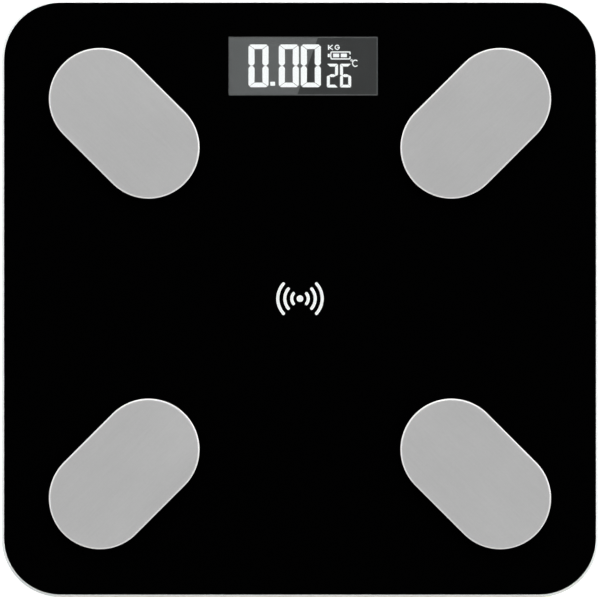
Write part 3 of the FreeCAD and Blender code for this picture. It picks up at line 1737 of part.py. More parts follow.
springs = []
SPRING_WIRE, COILS, STEPS = 0.3, 3, 12
climb = size("spring_length") - 2 * SPRING_WIRE
coil = []
for i in range(COILS * STEPS + 1):
    share, angle = i / (COILS * STEPS), 2 * math.pi * i / STEPS
    reach = size("cell_diameter / 3") - 0.8 * share
    coil.append((-climb * share, reach * math.cos(angle), reach * math.sin(angle)))
for sign in (-1, 1):
    spring = tube(coil, 2.3, SPRING_WIRE)
    face = sign * (box_x - thick - SPRING_WIRE)
    spring.Placement = Placement(
        Vector(face, box_y + sign * row_y, axis_z), Rotation(UP, 0 if sign > 0 else 180)
    )
    springs.append(spring)
feature("battery_springs", springs)

battery_leads = []
side = box_x + size("box_wall") + 4.5
for sign in (-1, 1):
    y = box_y + sign * row_y
    plug_x = middle_x + PLUGS["battery"]
    path = [(side, y), (side, FRONT_LANE - 8), (plug_x, FRONT_LANE + 2), (plug_x, FRONT)]
    moved = beside(path, sign * PITCH / 2)
    battery_leads.append(tube([(tab_end, y, tab_z)] + into_plug(moved, tab_z), 1.6))
feature("battery_leads", battery_leads)

# ------------------------------------------------------------------- check, write
doc.recompute()
for obj in doc.Objects:
    if "Invalid" in obj.State or "Error" in obj.State:
        raise RuntimeError(f"{obj.Label} did not recompute")
for part in sub_parts:
    if part.Shape.isNull() or not part.Shape.isValid() or not part.Shape.Solids:
        raise RuntimeError(f"{part.Label} is not a valid solid")

os.makedirs("parts", exist_ok=True)
for part in sub_parts:
    part.Shape.exportStep(f"parts/{part.Label}.step")
print(f"{len(sub_parts)} sub-parts written")
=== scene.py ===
"""Digital bathroom scale: glass platform, steel contact pads, lit display, white base on four feet."""

import logging
import math
from collections.abc import Callable
from dataclasses import dataclass, field
from enum import Enum

import bmesh
import bpy
import numpy as np
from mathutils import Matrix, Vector
from mathutils.geometry import tessellate_polygon


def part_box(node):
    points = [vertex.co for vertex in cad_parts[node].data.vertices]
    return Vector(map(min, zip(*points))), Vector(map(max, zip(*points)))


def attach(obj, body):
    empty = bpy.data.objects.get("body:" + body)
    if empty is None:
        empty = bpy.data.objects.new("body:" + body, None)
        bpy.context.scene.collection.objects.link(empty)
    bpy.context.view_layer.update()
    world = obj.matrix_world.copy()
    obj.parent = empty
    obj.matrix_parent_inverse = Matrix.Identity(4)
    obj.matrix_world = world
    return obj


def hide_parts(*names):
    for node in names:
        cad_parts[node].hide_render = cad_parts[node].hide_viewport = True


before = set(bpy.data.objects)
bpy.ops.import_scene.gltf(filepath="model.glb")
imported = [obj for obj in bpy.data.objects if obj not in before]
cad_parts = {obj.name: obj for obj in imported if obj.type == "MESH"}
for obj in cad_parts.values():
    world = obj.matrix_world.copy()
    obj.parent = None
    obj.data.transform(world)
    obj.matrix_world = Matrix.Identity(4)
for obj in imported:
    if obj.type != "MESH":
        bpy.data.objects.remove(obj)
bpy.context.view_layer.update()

MM = 0.001
LOG = logging.getLogger("bathroom_scale")

Rgb = tuple[float, float, float]
Outline = np.ndarray
Inset = Callable[[float], Outline]
Node = bpy.types.Node
Socket = bpy.types.NodeSocket


# ------------------------------------------------------------------ named options
class Corner(Enum):
    """The platform's corners, each with the signs of its X and Y."""

    REAR_LEFT = (-1, 1)
    REAR_RIGHT = (1, 1)
    FRONT_LEFT = (-1, -1)
    FRONT_RIGHT = (1, -1)

    @property
    def label(self) -> str:
        """The corner's part of a node's name."""
        return self.name.lower()


class Bar(Enum):
    """The seven bars of a numeral, by their usual letters."""

    TOP = "a"
    UPPER_RIGHT = "b"
    LOWER_RIGHT = "c"
    BOTTOM = "d"
    LOWER_LEFT = "e"
    UPPER_LEFT = "f"
    MIDDLE = "g"


NUMERALS: dict[str, str] = {"0": "abcdef", "2": "abged", "6": "afgedc"}


# -------------------------------------------------------------------- node helpers
class Tree:
    """A thin hand on a node tree: makes nodes and links them."""

    def __init__(self, tree: bpy.types.NodeTree) -> None:
        """Keeps the tree and empties it."""
        self.tree = tree
        tree.nodes.clear()

    def node(self, kind: str, inputs: dict[str | int, object] | None = None, **props: object) -> Node:
        """Adds a node.

        Args:
            kind: the node's type name.
            inputs: socket to plain value or to another node's output socket.
            **props: attributes of the node.

        Returns:
            The new node.
        """
        made = self.tree.nodes.new(kind)
        for key, value in props.items():
            setattr(made, key, value)
        for key, value in (inputs or {}).items():
            if isinstance(value, bpy.types.NodeSocket):
                self.tree.links.new(value, made.inputs[key])
            else:
                made.inputs[key].default_value = value
        return made

    def link(self, source: Socket, target: Socket) -> None:
        """Links an output socket to an input socket."""
        self.tree.links.new(source, target)

    def place(self) -> Socket:
        """Object coordinates."""
        return self.node("ShaderNodeTexCoord").outputs["Object"]

    def noise(self, place: Socket, scale: object, detail: float = 2.0) -> Socket:
        """A noise's level at a place, from its scale and detail."""
        return self.node("ShaderNodeTexNoise", {"Vector": place, "Scale": scale, "Detail": detail}).outputs[0]

    def scaled(self, vector: object, factor: object) -> Socket:
        """A colour or a vector times a factor."""
        made = self.node("ShaderNodeVectorMath", {0: vector, "Scale": factor}, operation="SCALE")
        return made.outputs[0]

    def blend(self, share: Socket, first: Socket, second: Socket) -> Socket:
        """Two shaders mixed, the second by the share."""
        return self.node("ShaderNodeMixShader", {0: share, 1: first, 2: second}).outputs[0]

    def effect(self, name: str, inputs: dict[str, object]) -> dict[str, Socket]:
        """One of the shared effects with its inputs set, as its outputs by name."""
        made = self.node("ShaderNodeGroup", inputs, node_tree=Effects.get(name))
        return {socket.name: socket for socket in made.outputs}

    def math(self, operation: str, *values: object, clamp: bool = False) -> Socket:
        """A Math node's result.

        Args:
            operation: the node's operation.
            *values: its operands, plain or sockets.
            clamp: keeps the result between 0 and 1.

        Returns:
            The output socket.
        """
        inputs = dict(enumerate(values))
        return self.node("ShaderNodeMath", inputs, operation=operation, use_clamp=clamp).outputs[0]

    def remap(self, value: Socket, low: float, high: float, to_low: float, to_high: float) -> Socket:
        """A value carried from one range to another and kept inside it.

        Args:
            value: the socket to remap.
            low: start of its own range.
            high: end of its own range.
            to_low: result at low.
            to_high: result at high.

        Returns:
            The output socket.
        """
        inputs = {0: value, 1: low, 2: high, 3: to_low, 4: to_high}
        return self.node("ShaderNodeMapRange", inputs, clamp=True).outputs[0]


def effect_group(
    name: str, inputs: dict[str, tuple[str, object]], outputs: dict[str, str]
) -> tuple[Tree, dict[str, Socket], dict[str, Socket]]:
    """Starts a shader node group with named sockets.

    Args:
        name: the group's name.
        inputs: socket name to its type and default.
        outputs: socket name to its type.

    Returns:
        The group's tree, what comes into it by name, and what goes out of it by name.
    """
    group = bpy.data.node_groups.new(name, "ShaderNodeTree")
    tree = Tree(group)
    for label, (kind, default) in inputs.items():
        socket = group.interface.new_socket(label, in_out="INPUT", socket_type=kind)
        if default is not None:
            socket.default_value = default
    for label, kind in outputs.items():
        group.interface.new_socket(label, in_out="OUTPUT", socket_type=kind)
    into, out = tree.node("NodeGroupInput"), tree.node("NodeGroupOutput")
    sources = {socket.name: socket for socket in into.outputs}
    sinks = {socket.name: socket for socket in out.inputs}
    return tree, sources, sinks


VALUE, COLOR, VECTOR = "NodeSocketFloat", "NodeSocketColor", "NodeSocketVector"


class Effects:
    """Shared surface effects, each a node group built once."""

    _made: dict[str, bpy.types.NodeTree] = {}

    @classmethod
    def get(cls, name: str) -> bpy.types.NodeTree:
        """The group of a name, built at first use.

        Args:
            name: the group's name, which a method of this class has after an underscore.

        Returns:
            The group.
        """
        if name not in cls._made:
            cls._made[name] = getattr(cls, "_" + name)()
        return cls._made[name]

    @classmethod
    def _spark_texture(cls) -> bpy.types.NodeTree:
        """Fine pebbled skin of a moulding: two noises and a cell pattern, as a height and a mask."""
        tree, into, out = effect_group(
            "spark_texture", {"Scale": (VALUE, 2500.0)}, {"Height": VALUE, "Mask": VALUE}
        )
        place, scale = tree.place(), into["Scale"]
        cell_scale = tree.math("MULTIPLY", scale, 0.6)
        cells = tree.node("ShaderNodeTexVoronoi", {"Vector": place, "Scale": cell_scale})
        fine = tree.noise(place, scale, 3.0)
        height = tree.math("MULTIPLY_ADD", cells.outputs["Distance"], 0.6, fine)
        tree.link(height, out["Height"])
        tree.link(tree.remap(height, 0.4, 1.2, 0.0, 1.0), out["Mask"])
        return tree.tree

    @classmethod
    def _brushed_lines(cls) -> bpy.types.NodeTree:
        """Long fine scratches along the vector's X: noise stretched along one axis."""
        tree, into, out = effect_group(
            "brushed_lines",
            {"Vector": (VECTOR, None), "Scale": (VALUE, 4000.0), "Stretch": (VALUE, 0.02)},
            {"Lines": VALUE, "Broad": VALUE},
        )
        stretch = tree.node("ShaderNodeCombineXYZ", {"X": into["Stretch"], "Y": 1.0, "Z": 0.2})
        sides = {0: into["Vector"], 1: stretch.outputs[0]}
        drawn = tree.node("ShaderNodeVectorMath", sides, operation="MULTIPLY").outputs[0]
        tree.link(tree.noise(drawn, into["Scale"], 4.0), out["Lines"])
        tree.link(tree.noise(drawn, tree.math("MULTIPLY", into["Scale"], 0.08)), out["Broad"])
        return tree.tree

    @classmethod
    def _handling_marks(cls) -> bpy.types.NodeTree:
        """Faint smears and dust: a soft large noise broken by a finer one, from 0 to 1."""
        tree, into, out = effect_group(
            "handling_marks", {"Scale": (VALUE, 30.0), "Amount": (VALUE, 0.5)}, {"Mask": VALUE}
        )
        place, scale = tree.place(), into["Scale"]
        smear = tree.remap(tree.noise(place, scale, 5.0), 0.48, 0.72, 0.0, 1.0)
        fine = tree.remap(tree.noise(place, tree.math("MULTIPLY", scale, 12.0)), 0.3, 0.7, 0.3, 1.0)
        broken = tree.math("MULTIPLY", smear, fine)
        tree.link(tree.math("MULTIPLY", broken, into["Amount"], clamp=True), out["Mask"])
        return tree.tree

    @classmethod
    def _tone_drift(cls) -> bpy.types.NodeTree:
        """A colour that drifts slightly lighter and darker over the surface, with fine specks."""
        tree, into, out = effect_group(
            "tone_drift",
            {"Color": (COLOR, (0.5, 0.5, 0.5, 1.0)), "Scale": (VALUE, 40.0), "Drift": (VALUE, 0.05)},
            {"Color": COLOR},
        )
        place, scale = tree.place(), into["Scale"]
        specks = tree.noise(place, tree.math("MULTIPLY", scale, 45.0))
        both = tree.math("MULTIPLY_ADD", specks, 0.5, tree.noise(place, scale, 3.0))
        level = tree.math("SUBTRACT", both, 0.75)
        gain = tree.math("MULTIPLY_ADD", level, tree.math("MULTIPLY", into["Drift"], 4.0), 1.0)
        tree.link(tree.scaled(into["Color"], gain), out["Color"])
        return tree.tree


# ------------------------------------------------------------------------ finishes
@dataclass(frozen=True)
class Finish:
    """A surface finish on one Principled shader: tone drift, skin texture and handling marks."""

    name: str
    color: Rgb
    roughness: float = 0.5
    metallic: float = 0.0
    drift: float = 0.04
    drift_scale: float = 40.0
    texture_scale: float = 2500.0
    texture_depth: float = 0.0
    marks: float = 0.1
    specular: float = 0.5
    coat: float = 0.0
    coat_roughness: float = 0.08
    skin_strength: float = 0.35
    skin_roughness: float = 0.08

    def material(self) -> bpy.types.Material:
        """The material, built at first use.

        Returns:
            The material.
        """
        found = bpy.data.materials.get(self.name)
        if found is not None:
            return found
        made = bpy.data.materials.new(self.name)
        made.use_nodes = True
        tree = Tree(made.node_tree)
        shader = tree.node("ShaderNodeBsdfPrincipled")
        output = tree.node("ShaderNodeOutputMaterial")
        shader.inputs["Metallic"].default_value = self.metallic
        shader.inputs["Specular IOR Level"].default_value = self.specular
        shader.inputs["Coat Weight"].default_value = self.coat
        shader.inputs["Coat Roughness"].default_value = self.coat_roughness
        self._dress(tree, shader)
        tree.link(self._surface(tree, shader), output.inputs["Surface"])
        return made

    def _surface(self, tree: Tree, shader: Node) -> Socket:
        """What the material's output shows; a finish may mix something in here."""
        return shader.outputs[0]

    def _tone(self, tree: Tree) -> Socket:
        """The drifting base colour."""
        inputs = {"Color": (*self.color, 1.0), "Scale": self.drift_scale, "Drift": self.drift}
        return tree.effect("tone_drift", inputs)["Color"]

    def _smeared(self, tree: Tree, roughness: float | Socket, **scale: float) -> Socket:
        """A roughness with the finish's handling marks on it, at the marks' own scale or another."""
        smear = tree.effect("handling_marks", {**scale, "Amount": self.marks})["Mask"]
        return tree.math("ADD", smear, roughness, clamp=True)

    def _dress(self, tree: Tree, shader: Node) -> None:
        """Feeds colour, roughness and bump from the shared effects.

        Args:
            tree: the material's tree.
            shader: its Principled node.
        """
        tree.link(self._tone(tree), shader.inputs["Base Color"])
        rough = self._smeared(tree, self.roughness)
        if self.texture_depth > 0.0:
            skin = tree.effect("spark_texture", {"Scale": self.texture_scale})
            rough = tree.math("MULTIPLY_ADD", skin["Mask"], self.skin_roughness, rough, clamp=True)
            depth = {"Strength": self.skin_strength, "Distance": self.texture_depth * MM}
            bump = tree.node("ShaderNodeBump", {**depth, "Height": skin["Height"]})
            tree.link(bump.outputs[0], shader.inputs["Normal"])
        tree.link(rough, shader.inputs["Roughness"])


@dataclass(frozen=True)
class BrushedSteel(Finish):
    """Satin stainless steel, its fine lines along a direction in the XY plane."""

    angle: float = 0.0
    line_scale: float = 5200.0
    line_strength: float = 0.12
    line_depth: float = 0.01
    broad_roughness: float = 0.06

    def _dress(self, tree: Tree, shader: Node) -> None:
        """Feeds lines into colour, roughness and bump.

        Args:
            tree: the material's tree.
            shader: its Principled node.
        """
        turn = {"Vector": tree.place(), "Rotation": (0.0, 0.0, -self.angle)}
        along = tree.node("ShaderNodeMapping", turn).outputs[0]
        lines = tree.effect("brushed_lines", {"Vector": along, "Scale": self.line_scale})
        fine = lines["Lines"]
        tone = tree.remap(fine, 0.25, 0.75, 1.0 - self.drift, 1.0 + self.drift)
        tree.link(tree.scaled(self._tone(tree), tone), shader.inputs["Base Color"])
        lowest = self.roughness - self.broad_roughness / 2
        rough = tree.math("MULTIPLY_ADD", lines["Broad"], self.broad_roughness, lowest)
        tree.link(self._smeared(tree, rough), shader.inputs["Roughness"])
        depth = {"Strength": self.line_strength, "Distance": self.line_depth * MM}
        bump = tree.node("ShaderNodeBump", {**depth, "Height": fine})
        tree.link(bump.outputs[0], shader.inputs["Normal"])


@dataclass(frozen=True)
class ClearGlass(Finish):
    """Polished float glass that lets lamps through to what is under it."""

    ior: float = 1.52
    smear_scale: float = 22.0
    shadow: Rgb = (0.93, 0.95, 0.94)

    def _dress(self, tree: Tree, shader: Node) -> None:
        """Sets the glass and feeds faint smears into its roughness.

        Args:
            tree: the material's tree.
            shader: its Principled node.
        """
        shader.inputs["Transmission Weight"].default_value = 1.0
        shader.inputs["IOR"].default_value = self.ior
        tree.link(self._tone(tree), shader.inputs["Base Color"])
        rough = self._smeared(tree, self.roughness, Scale=self.smear_scale)
        tree.link(rough, shader.inputs["Roughness"])

    def _surface(self, tree: Tree, shader: Node) -> Socket:
        """Glass for what is seen, clear for the rays that look for lamps.

        Args:
            tree: the material's tree.
            shader: its Principled node.

        Returns:
            The mixed shader.
        """
        clear = tree.node("ShaderNodeBsdfTransparent", {"Color": (*self.shadow, 1.0)})
        sought = tree.node("ShaderNodeLightPath").outputs["Is Shadow Ray"]
        return tree.blend(sought, shader.outputs[0], clear.outputs[0])


@dataclass(frozen=True)
class Lit(Finish):
    """A surface that glows evenly, such as an open cell of the display."""

    glow: float = 1.0
    body: float = 1.0

    def _dress(self, tree: Tree, shader: Node) -> None:
        """Adds the glow to the plain dressing, and dims what the surface reflects.

        Args:
            tree: the material's tree.
            shader: its Principled node.
        """
        super()._dress(tree, shader)
        tone = self._tone(tree)
        tree.link(tree.scaled(tone, self.body), shader.inputs["Base Color"])
        tree.link(tone, shader.inputs["Emission Color"])
        shader.inputs["Emission Strength"].default_value = self.glow


@dataclass(frozen=True)
class OneSided(Lit):
    """A floor that glows only to the eye, and is clear from below and to the rays that look for lamps."""

    def _surface(self, tree: Tree, shader: Node) -> Socket:
        """The floor from above, nothing from below.

        Args:
            tree: the material's tree.
            shader: its Principled node.

        Returns:
            The mixed shader.
        """
        path = tree.node("ShaderNodeLightPath").outputs
        glow = tree.math("MULTIPLY", path["Is Camera Ray"], self.glow)
        tree.link(glow, shader.inputs["Emission Strength"])
        behind = tree.node("ShaderNodeNewGeometry").outputs["Backfacing"]
        hidden = tree.math("MAXIMUM", behind, path["Is Shadow Ray"])
        clear = tree.node("ShaderNodeBsdfTransparent")
        return tree.blend(hidden, shader.outputs[0], clear.outputs[0])


@dataclass(frozen=True)
class PaintedReflectionFace(Finish):
    """The display's front film: its own dark grey right of a slanting line, and paler to its left, where a
    reflection is painted into its colour.
    """

    middle: tuple[float, float] = (0.0, 0.0)
    run: float = 0.36
    shift: float = 0.0
    half_x: float = 30.0
    # painted reflection: this pale tone, left of the slanting line, stands for a reflection on the display
    # and is not the film's own colour
    pale: Rgb = (0.143, 0.143, 0.146)
    reflection_middle_gain: float = 1.02
    reflection_edge_blur: float = 0.1

    def _tone(self, tree: Tree) -> Socket:
        """The film's colour from each point's side of the line and its way to the left edge: dark grey to the
        right, a painted reflection to the left.

        Args:
            tree: the material's tree.

        Returns:
            The colour.
        """
        base = super()._tone(tree)
        part = tree.node("ShaderNodeSeparateXYZ", {0: tree.place()}).outputs
        x = tree.math("SUBTRACT", part["X"], self.middle[0] * MM)
        y = tree.math("SUBTRACT", part["Y"], self.middle[1] * MM)
        side = tree.math("SUBTRACT", x, tree.math("MULTIPLY_ADD", y, self.run, self.shift * MM))
        # mask of the painted reflection: 1 left of the slanting line, 0 right of it
        left = tree.remap(side, -self.reflection_edge_blur * MM, self.reflection_edge_blur * MM, 1.0, 0.0)
        gain = tree.remap(x, -self.half_x * MM, 0.0, 1.0, self.reflection_middle_gain)
        tones = {0: left, 6: base, 7: tree.scaled(self.pale, gain)}
        return tree.node("ShaderNodeMix", tones, data_type="RGBA").outputs[2]


GLASS = ClearGlass("polished_float_glass", (0.97, 0.99, 0.985), 0.0, drift=0.004, marks=0.012)
GROUND_EDGE = Finish(
    "ground_glass_edge", (0.71, 0.735, 0.725), 0.34, drift=0.03, texture_scale=5000.0,
    texture_depth=0.01, marks=0.05,
)
SATIN_EDGE = ClearGlass("satin_glass_edge", (0.62, 0.86, 0.78), 0.3, drift=0.02, marks=0.03)
FLOOR = OneSided("pale_floor", (0.86, 0.86, 0.86), 0.7, drift=0.004, marks=0.02, specular=0.0, glow=0.6)
# partly painted highlight: the pads' chamfer wears a near-white, half-metallic copy of the steel so it reads
# as a bright edge; the lamps still light it unevenly
CHAMFER_HIGHLIGHT = Finish(
    "chamfer_painted_highlight", (0.95, 0.95, 0.95), 0.25, metallic=0.4, drift=0.02, marks=0.03,
)
BLACK_INK = Finish("black_screen_ink", (0.0006, 0.0006, 0.00065), 0.55, drift=0.05, marks=0.05, specular=0.0)
# painted light: the printed white icon glows a little (glow 0.12), though it is no lamp
GLOWING_WHITE_INK = Lit("white_screen_ink_painted_glow", (0.93, 0.93, 0.93), 0.6, drift=0.01, glow=0.12)
FOAM = Finish("black_foam_tape", (0.02, 0.02, 0.021), 0.9, texture_depth=0.08, texture_scale=1800.0)
ADHESIVE = Finish("clear_adhesive", (0.55, 0.55, 0.5), 0.2, drift=0.03)
PLATED = Finish("nickel_plate", (0.66, 0.65, 0.62), 0.24, metallic=1.0, drift=0.03, marks=0.15)
WHITE_MOULDING = Finish(
    "white_moulding", (0.68, 0.68, 0.675), 0.46, drift=0.012, texture_depth=0.03, marks=0.12,
)
SMOOTH_MOULDING = Finish(
    "smooth_white_moulding", (0.70, 0.70, 0.695), 0.28, drift=0.01, texture_depth=0.008, marks=0.15,
)
LABEL = Finish("label_film", (0.58, 0.59, 0.60), 0.38, drift=0.015, marks=0.2, coat=0.2)
LABEL_LINE = Finish("label_border", (0.22, 0.23, 0.24), 0.4, drift=0.02)
RUBBER = Finish(
    "grey_foot_rubber", (0.075, 0.075, 0.08), 0.78, drift=0.06, texture_depth=0.05,
    texture_scale=1600.0, marks=0.15,
)
CELL_STEEL = Finish("zinc_plated_cell", (0.5, 0.5, 0.5), 0.36, metallic=1.0, drift=0.05, marks=0.2)
SILICONE = Finish("white_silicone", (0.76, 0.76, 0.74), 0.35, drift=0.03, coat=0.3)
# painted highlight: a paler grey ring that stands for light caught along the display window's edge
LCD_EDGE_HIGHLIGHT = Finish("display_edge_painted_highlight", (0.12, 0.12, 0.124), 0.35, drift=0.01, marks=0.03, specular=0.2)
LCD_LIT = Lit("lit_display_cell", (0.96, 0.97, 0.98), 0.5, drift=0.004, specular=0.1, glow=1.06, body=0.04)
LIGHT_GUIDE = Lit("light_guide", (0.85, 0.88, 0.9), 0.2, drift=0.01, glow=0.3)
BLACK_ABS = Finish("black_moulding", (0.02, 0.02, 0.021), 0.45, texture_depth=0.02)
STRIP = Finish("contact_rubber", (0.6, 0.38, 0.42), 0.6, drift=0.05)
BOARD = Finish("green_solder_mask", (0.015, 0.14, 0.055), 0.32, drift=0.08, coat=0.3)
EPOXY = Finish("chip_epoxy", (0.018, 0.018, 0.019), 0.55, texture_depth=0.02)
NYLON = Finish("natural_nylon", (0.74, 0.71, 0.62), 0.42, drift=0.03)
JACKET = Finish("battery_jacket", (0.12, 0.16, 0.24), 0.3, metallic=0.35, drift=0.03, coat=0.5)
LEAD = Finish("lead_insulation", (0.42, 0.03, 0.03), 0.42, drift=0.05)


# ------------------------------------------------------------------ surface making
def rounded_rectangle(half_x: float, half_y: float, radius: float, steps: int) -> Outline:
    """Points round a rectangle with circular corners, anticlockwise.

    Each corner's points are its centre plus radius times (cos, sin) over a quarter turn.

    Args:
        half_x: half the width.
        half_y: half the depth.
        radius: corner radius.
        steps: arcs' steps per corner.

    Returns:
        An array of shape (4 * (steps + 1), 2).
    """
    quarter = np.linspace(0.0, math.pi / 2, steps + 1)
    turn = (quarter[None, :] + np.arange(4)[:, None] * math.pi / 2).ravel()
    side = np.repeat([[1, 1], [-1, 1], [-1, -1], [1, -1]], steps + 1, axis=0)
    centre = side * (np.array([half_x, half_y]) - radius)
    return centre + radius * np.stack([np.cos(turn), np.sin(turn)], axis=1)


def stadium(half_length: float, radius: float, steps: int) -> Outline:
    """Points round a stadium along X, anticlockwise: two half circles joined by straights.

    Args:
        half_length: from the middle to the end.
        radius: half the width.
        steps: arcs' steps per half circle.

    Returns:
        An array of shape (2 * (steps + 1), 2).
    """
    turn = np.linspace(-math.pi / 2, math.pi / 2, steps + 1)
    turn = np.concatenate([turn, turn + math.pi])
    centre = np.repeat([half_length - radius, radius - half_length], steps + 1)
    x, y = centre + radius * np.cos(turn), radius * np.sin(turn)
    return np.stack([x, y], axis=1)


def softened(corners: list[tuple[float, float]], reach: float, steps: int = 4) -> np.ndarray:
    """A profile whose inner corners are eased with parabolas.

    A corner C between neighbours A and B becomes (1-t)^2 P + 2t(1-t) C + t^2 Q, where P and Q
    lie on its two sides at the reach, or at half a side that is shorter than twice the reach.

    Args:
        corners: the profile's (offset, height) points.
        reach: how far from each corner the easing starts.
        steps: points per corner, less one.

    Returns:
        An array of (offset, height) rows.
    """
    points = np.array(corners, float)
    before, corner, after = points[:-2], points[1:-1], points[2:]

    def towards(end: np.ndarray) -> np.ndarray:
        """Points on the sides from each corner, at the reach or half-way.

        Args:
            end: the side's other end, for each corner.

        Returns:
            The points.
        """
        side = end - corner
        length = np.linalg.norm(side, axis=1, keepdims=True)
        return corner + side * np.minimum(reach / length, 0.5)

    t = np.linspace(0.0, 1.0, steps + 1)[None, :, None]
    start, end, middle = towards(before)[:, None], towards(after)[:, None], corner[:, None]
    eased = (1 - t) ** 2 * start + 2 * t * (1 - t) * middle + t**2 * end
    return np.concatenate([points[:1], eased.reshape(-1, 2), points[-1:]])


def turned(points: np.ndarray, angle: float, centre: tuple[float, float]) -> np.ndarray:
    """Points turned about Z through the origin, then moved in X and Y.

    Args:
        points: an array whose last axis is (x, y, z).
        angle: the turn, in radians.
        centre: where the origin goes.

    Returns:
        The moved points.
    """
    cos, sin = math.cos(angle), math.sin(angle)
    matrix = np.array([[cos, sin, 0.0], [-sin, cos, 0.0], [0.0, 0.0, 1.0]])
    return points @ matrix + np.array([*centre, 0.0])


def mesh_object(
    name: str,
    points: np.ndarray,
    faces: list[tuple[int, ...]],
    finishes: list[Finish],
    face_finish: np.ndarray | None = None,
    smooth_angle: float = 30.0,
) -> bpy.types.Object:
    """Puts worked-out points and faces into a new object at the origin.

    Args:
        name: the object's name.
        points: an array of (x, y, z) rows, in millimetres.
        faces: point indices of each face, anticlockwise from outside.
        finishes: the finishes it wears.
        face_finish: which finish each face wears; all wear the first if left out.
        smooth_angle: edges sharper than this stay crisp, in degrees.

    Returns:
        The object.
    """
    mesh = bpy.data.meshes.new(name)
    mesh.from_pydata(points * MM, [], faces)
    mesh.polygons.foreach_set("use_smooth", np.ones(len(faces), bool))
    for finish in finishes:
        mesh.materials.append(finish.material())
    if face_finish is not None:
        mesh.polygons.foreach_set("material_index", face_finish.astype(np.int32))
    mesh.update()
    mesh.set_sharp_from_angle(angle=math.radians(smooth_angle))
    made = bpy.data.objects.new(name, mesh)
    bpy.context.scene.collection.objects.link(made)
    return made


def ring_faces(rings: int, around: int, first: int = 0) -> np.ndarray:
    """Quads between stacked rings of points, outwards when the rings go anticlockwise and up.

    Args:
        rings: how many rings.
        around: points per ring.
        first: index of the first point.

    Returns:
        An array of four indices per quad, ring by ring.
    """
    i, j = np.meshgrid(np.arange(rings - 1), np.arange(around), indexing="ij")
    low, low_next = i * around + j, i * around + (j + 1) % around
    quads = np.stack([low, low_next, low_next + around, low + around], axis=-1)
    return quads.reshape(-1, 4) + first


def stacked(rings: np.ndarray, first: int = 0) -> tuple[np.ndarray, list[tuple[int, ...]]]:
    """A closed solid from rings of points, its ends closed with one flat face each.

    Args:
        rings: an array of shape (rings, around, 3), from the bottom up.
        first: index of the first point.

    Returns:
        The points, and the faces: sides ring by ring, then bottom, then top.
    """
    count, around = rings.shape[:2]
    faces = [tuple(quad) for quad in ring_faces(count, around, first).tolist()]
    faces.append(tuple(range(first + around - 1, first - 1, -1)))
    top = first + (count - 1) * around
    faces.append(tuple(range(top, top + around)))
    return rings.reshape(-1, 3), faces


def levelled(outline: Outline, height: float) -> np.ndarray:
    """An outline's points at a height."""
    return np.column_stack([outline, np.full(len(outline), height)])


def slab_rings(shape: Inset, profile: np.ndarray) -> np.ndarray:
    """Rings of a slab whose outline shrinks and rises along a profile.

    Args:
        shape: gives the outline drawn in by an offset.
        profile: (offset, height) rows, from the bottom up.

    Returns:
        An array of shape (rows, around, 3).
    """
    return np.stack([levelled(shape(offset), height) for offset, height in profile])


def lathe(profile: np.ndarray, around: int) -> np.ndarray:
    """Rings of a turned shape: each (radius, height) row swept through a full turn.

    Args:
        profile: (radius, height) rows, from the bottom up and all off the axis.
        around: points per ring.

    Returns:
        An array of shape (rows, around, 3).
    """
    turn = np.linspace(0.0, 2 * math.pi, around, endpoint=False)
    x = profile[:, :1] * np.cos(turn)
    y = profile[:, :1] * np.sin(turn)
    return np.stack([x, y, np.broadcast_to(profile[:, 1:], x.shape)], axis=-1)


def prisms(
    name: str, outlines: list[np.ndarray], bottom: float, top: float, finish: Finish
) -> bpy.types.Object:
    """Flat plates standing between two heights, all in one object.

    Args:
        name: the object's name.
        outlines: each plate's (x, y) points, either way round.
        bottom: lower height, in millimetres.
        top: upper height, in millimetres.
        finish: the finish it wears.

    Returns:
        The object.
    """
    points, faces, first = [], [], 0
    for outline in outlines:
        shape = np.asarray(outline, float)
        following = np.roll(shape, -1, axis=0)
        area = np.sum(shape[:, 0] * following[:, 1] - following[:, 0] * shape[:, 1])
        shape = shape if area > 0 else shape[::-1]
        rings = np.stack([levelled(shape, height) for height in (bottom, top)])
        part, part_faces = stacked(rings, first)
        points.append(part)
        faces += part_faces
        first += len(part)
    return mesh_object(name, np.concatenate(points), faces, [finish])


def ribbon(points: np.ndarray, width: float, closed: bool = False) -> np.ndarray:
    """The outline of a stroke of even width along a line.

    Each point is moved to both sides along the mean of its two sides' normals, stretched so
    that the stroke keeps its width round a corner.

    Args:
        points: (x, y) rows along the stroke.
        width: the stroke's width.
        closed: True for a loop, which comes back cut open at its first point.

    Returns:
        The outline's (x, y) rows.
    """
    line = np.asarray(points, float)
    if closed:
        line = np.concatenate([line, line[:1]])
    side = np.diff(line, axis=0)
    side /= np.linalg.norm(side, axis=1, keepdims=True)
    normal = np.stack([-side[:, 1], side[:, 0]], axis=1)
    before = np.concatenate([normal[-1:] if closed else normal[:1], normal])
    after = np.concatenate([normal, normal[:1] if closed else normal[-1:]])
    mean = before + after
    mean /= np.linalg.norm(mean, axis=1, keepdims=True)
    reach = width / 2 / np.sum(mean * after, axis=1, keepdims=True)
    return np.concatenate([line + mean * reach, (line - mean * reach)[::-1]])


def arc(centre: tuple[float, float], radius: float, start: float, end: float, steps: int) -> np.ndarray:
    """Points along a circular arc: the centre plus radius times (cos, sin) of even angles.

    Args:
        centre: the arc's centre.
        radius: its radius.
        start: first angle, in degrees.
        end: last angle, in degrees.
        steps: how many steps.

    Returns:
        (x, y) rows.
    """
    turn = np.radians(np.linspace(start, end, steps + 1))
    return np.array(centre) + radius * np.stack([np.cos(turn), np.sin(turn)], axis=1)


def box_mm(node: str) -> tuple[np.ndarray, np.ndarray]:
    """A CAD node's lowest and highest corner, in millimetres."""
    low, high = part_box(node)
    return np.array(low) / MM, np.array(high) / MM


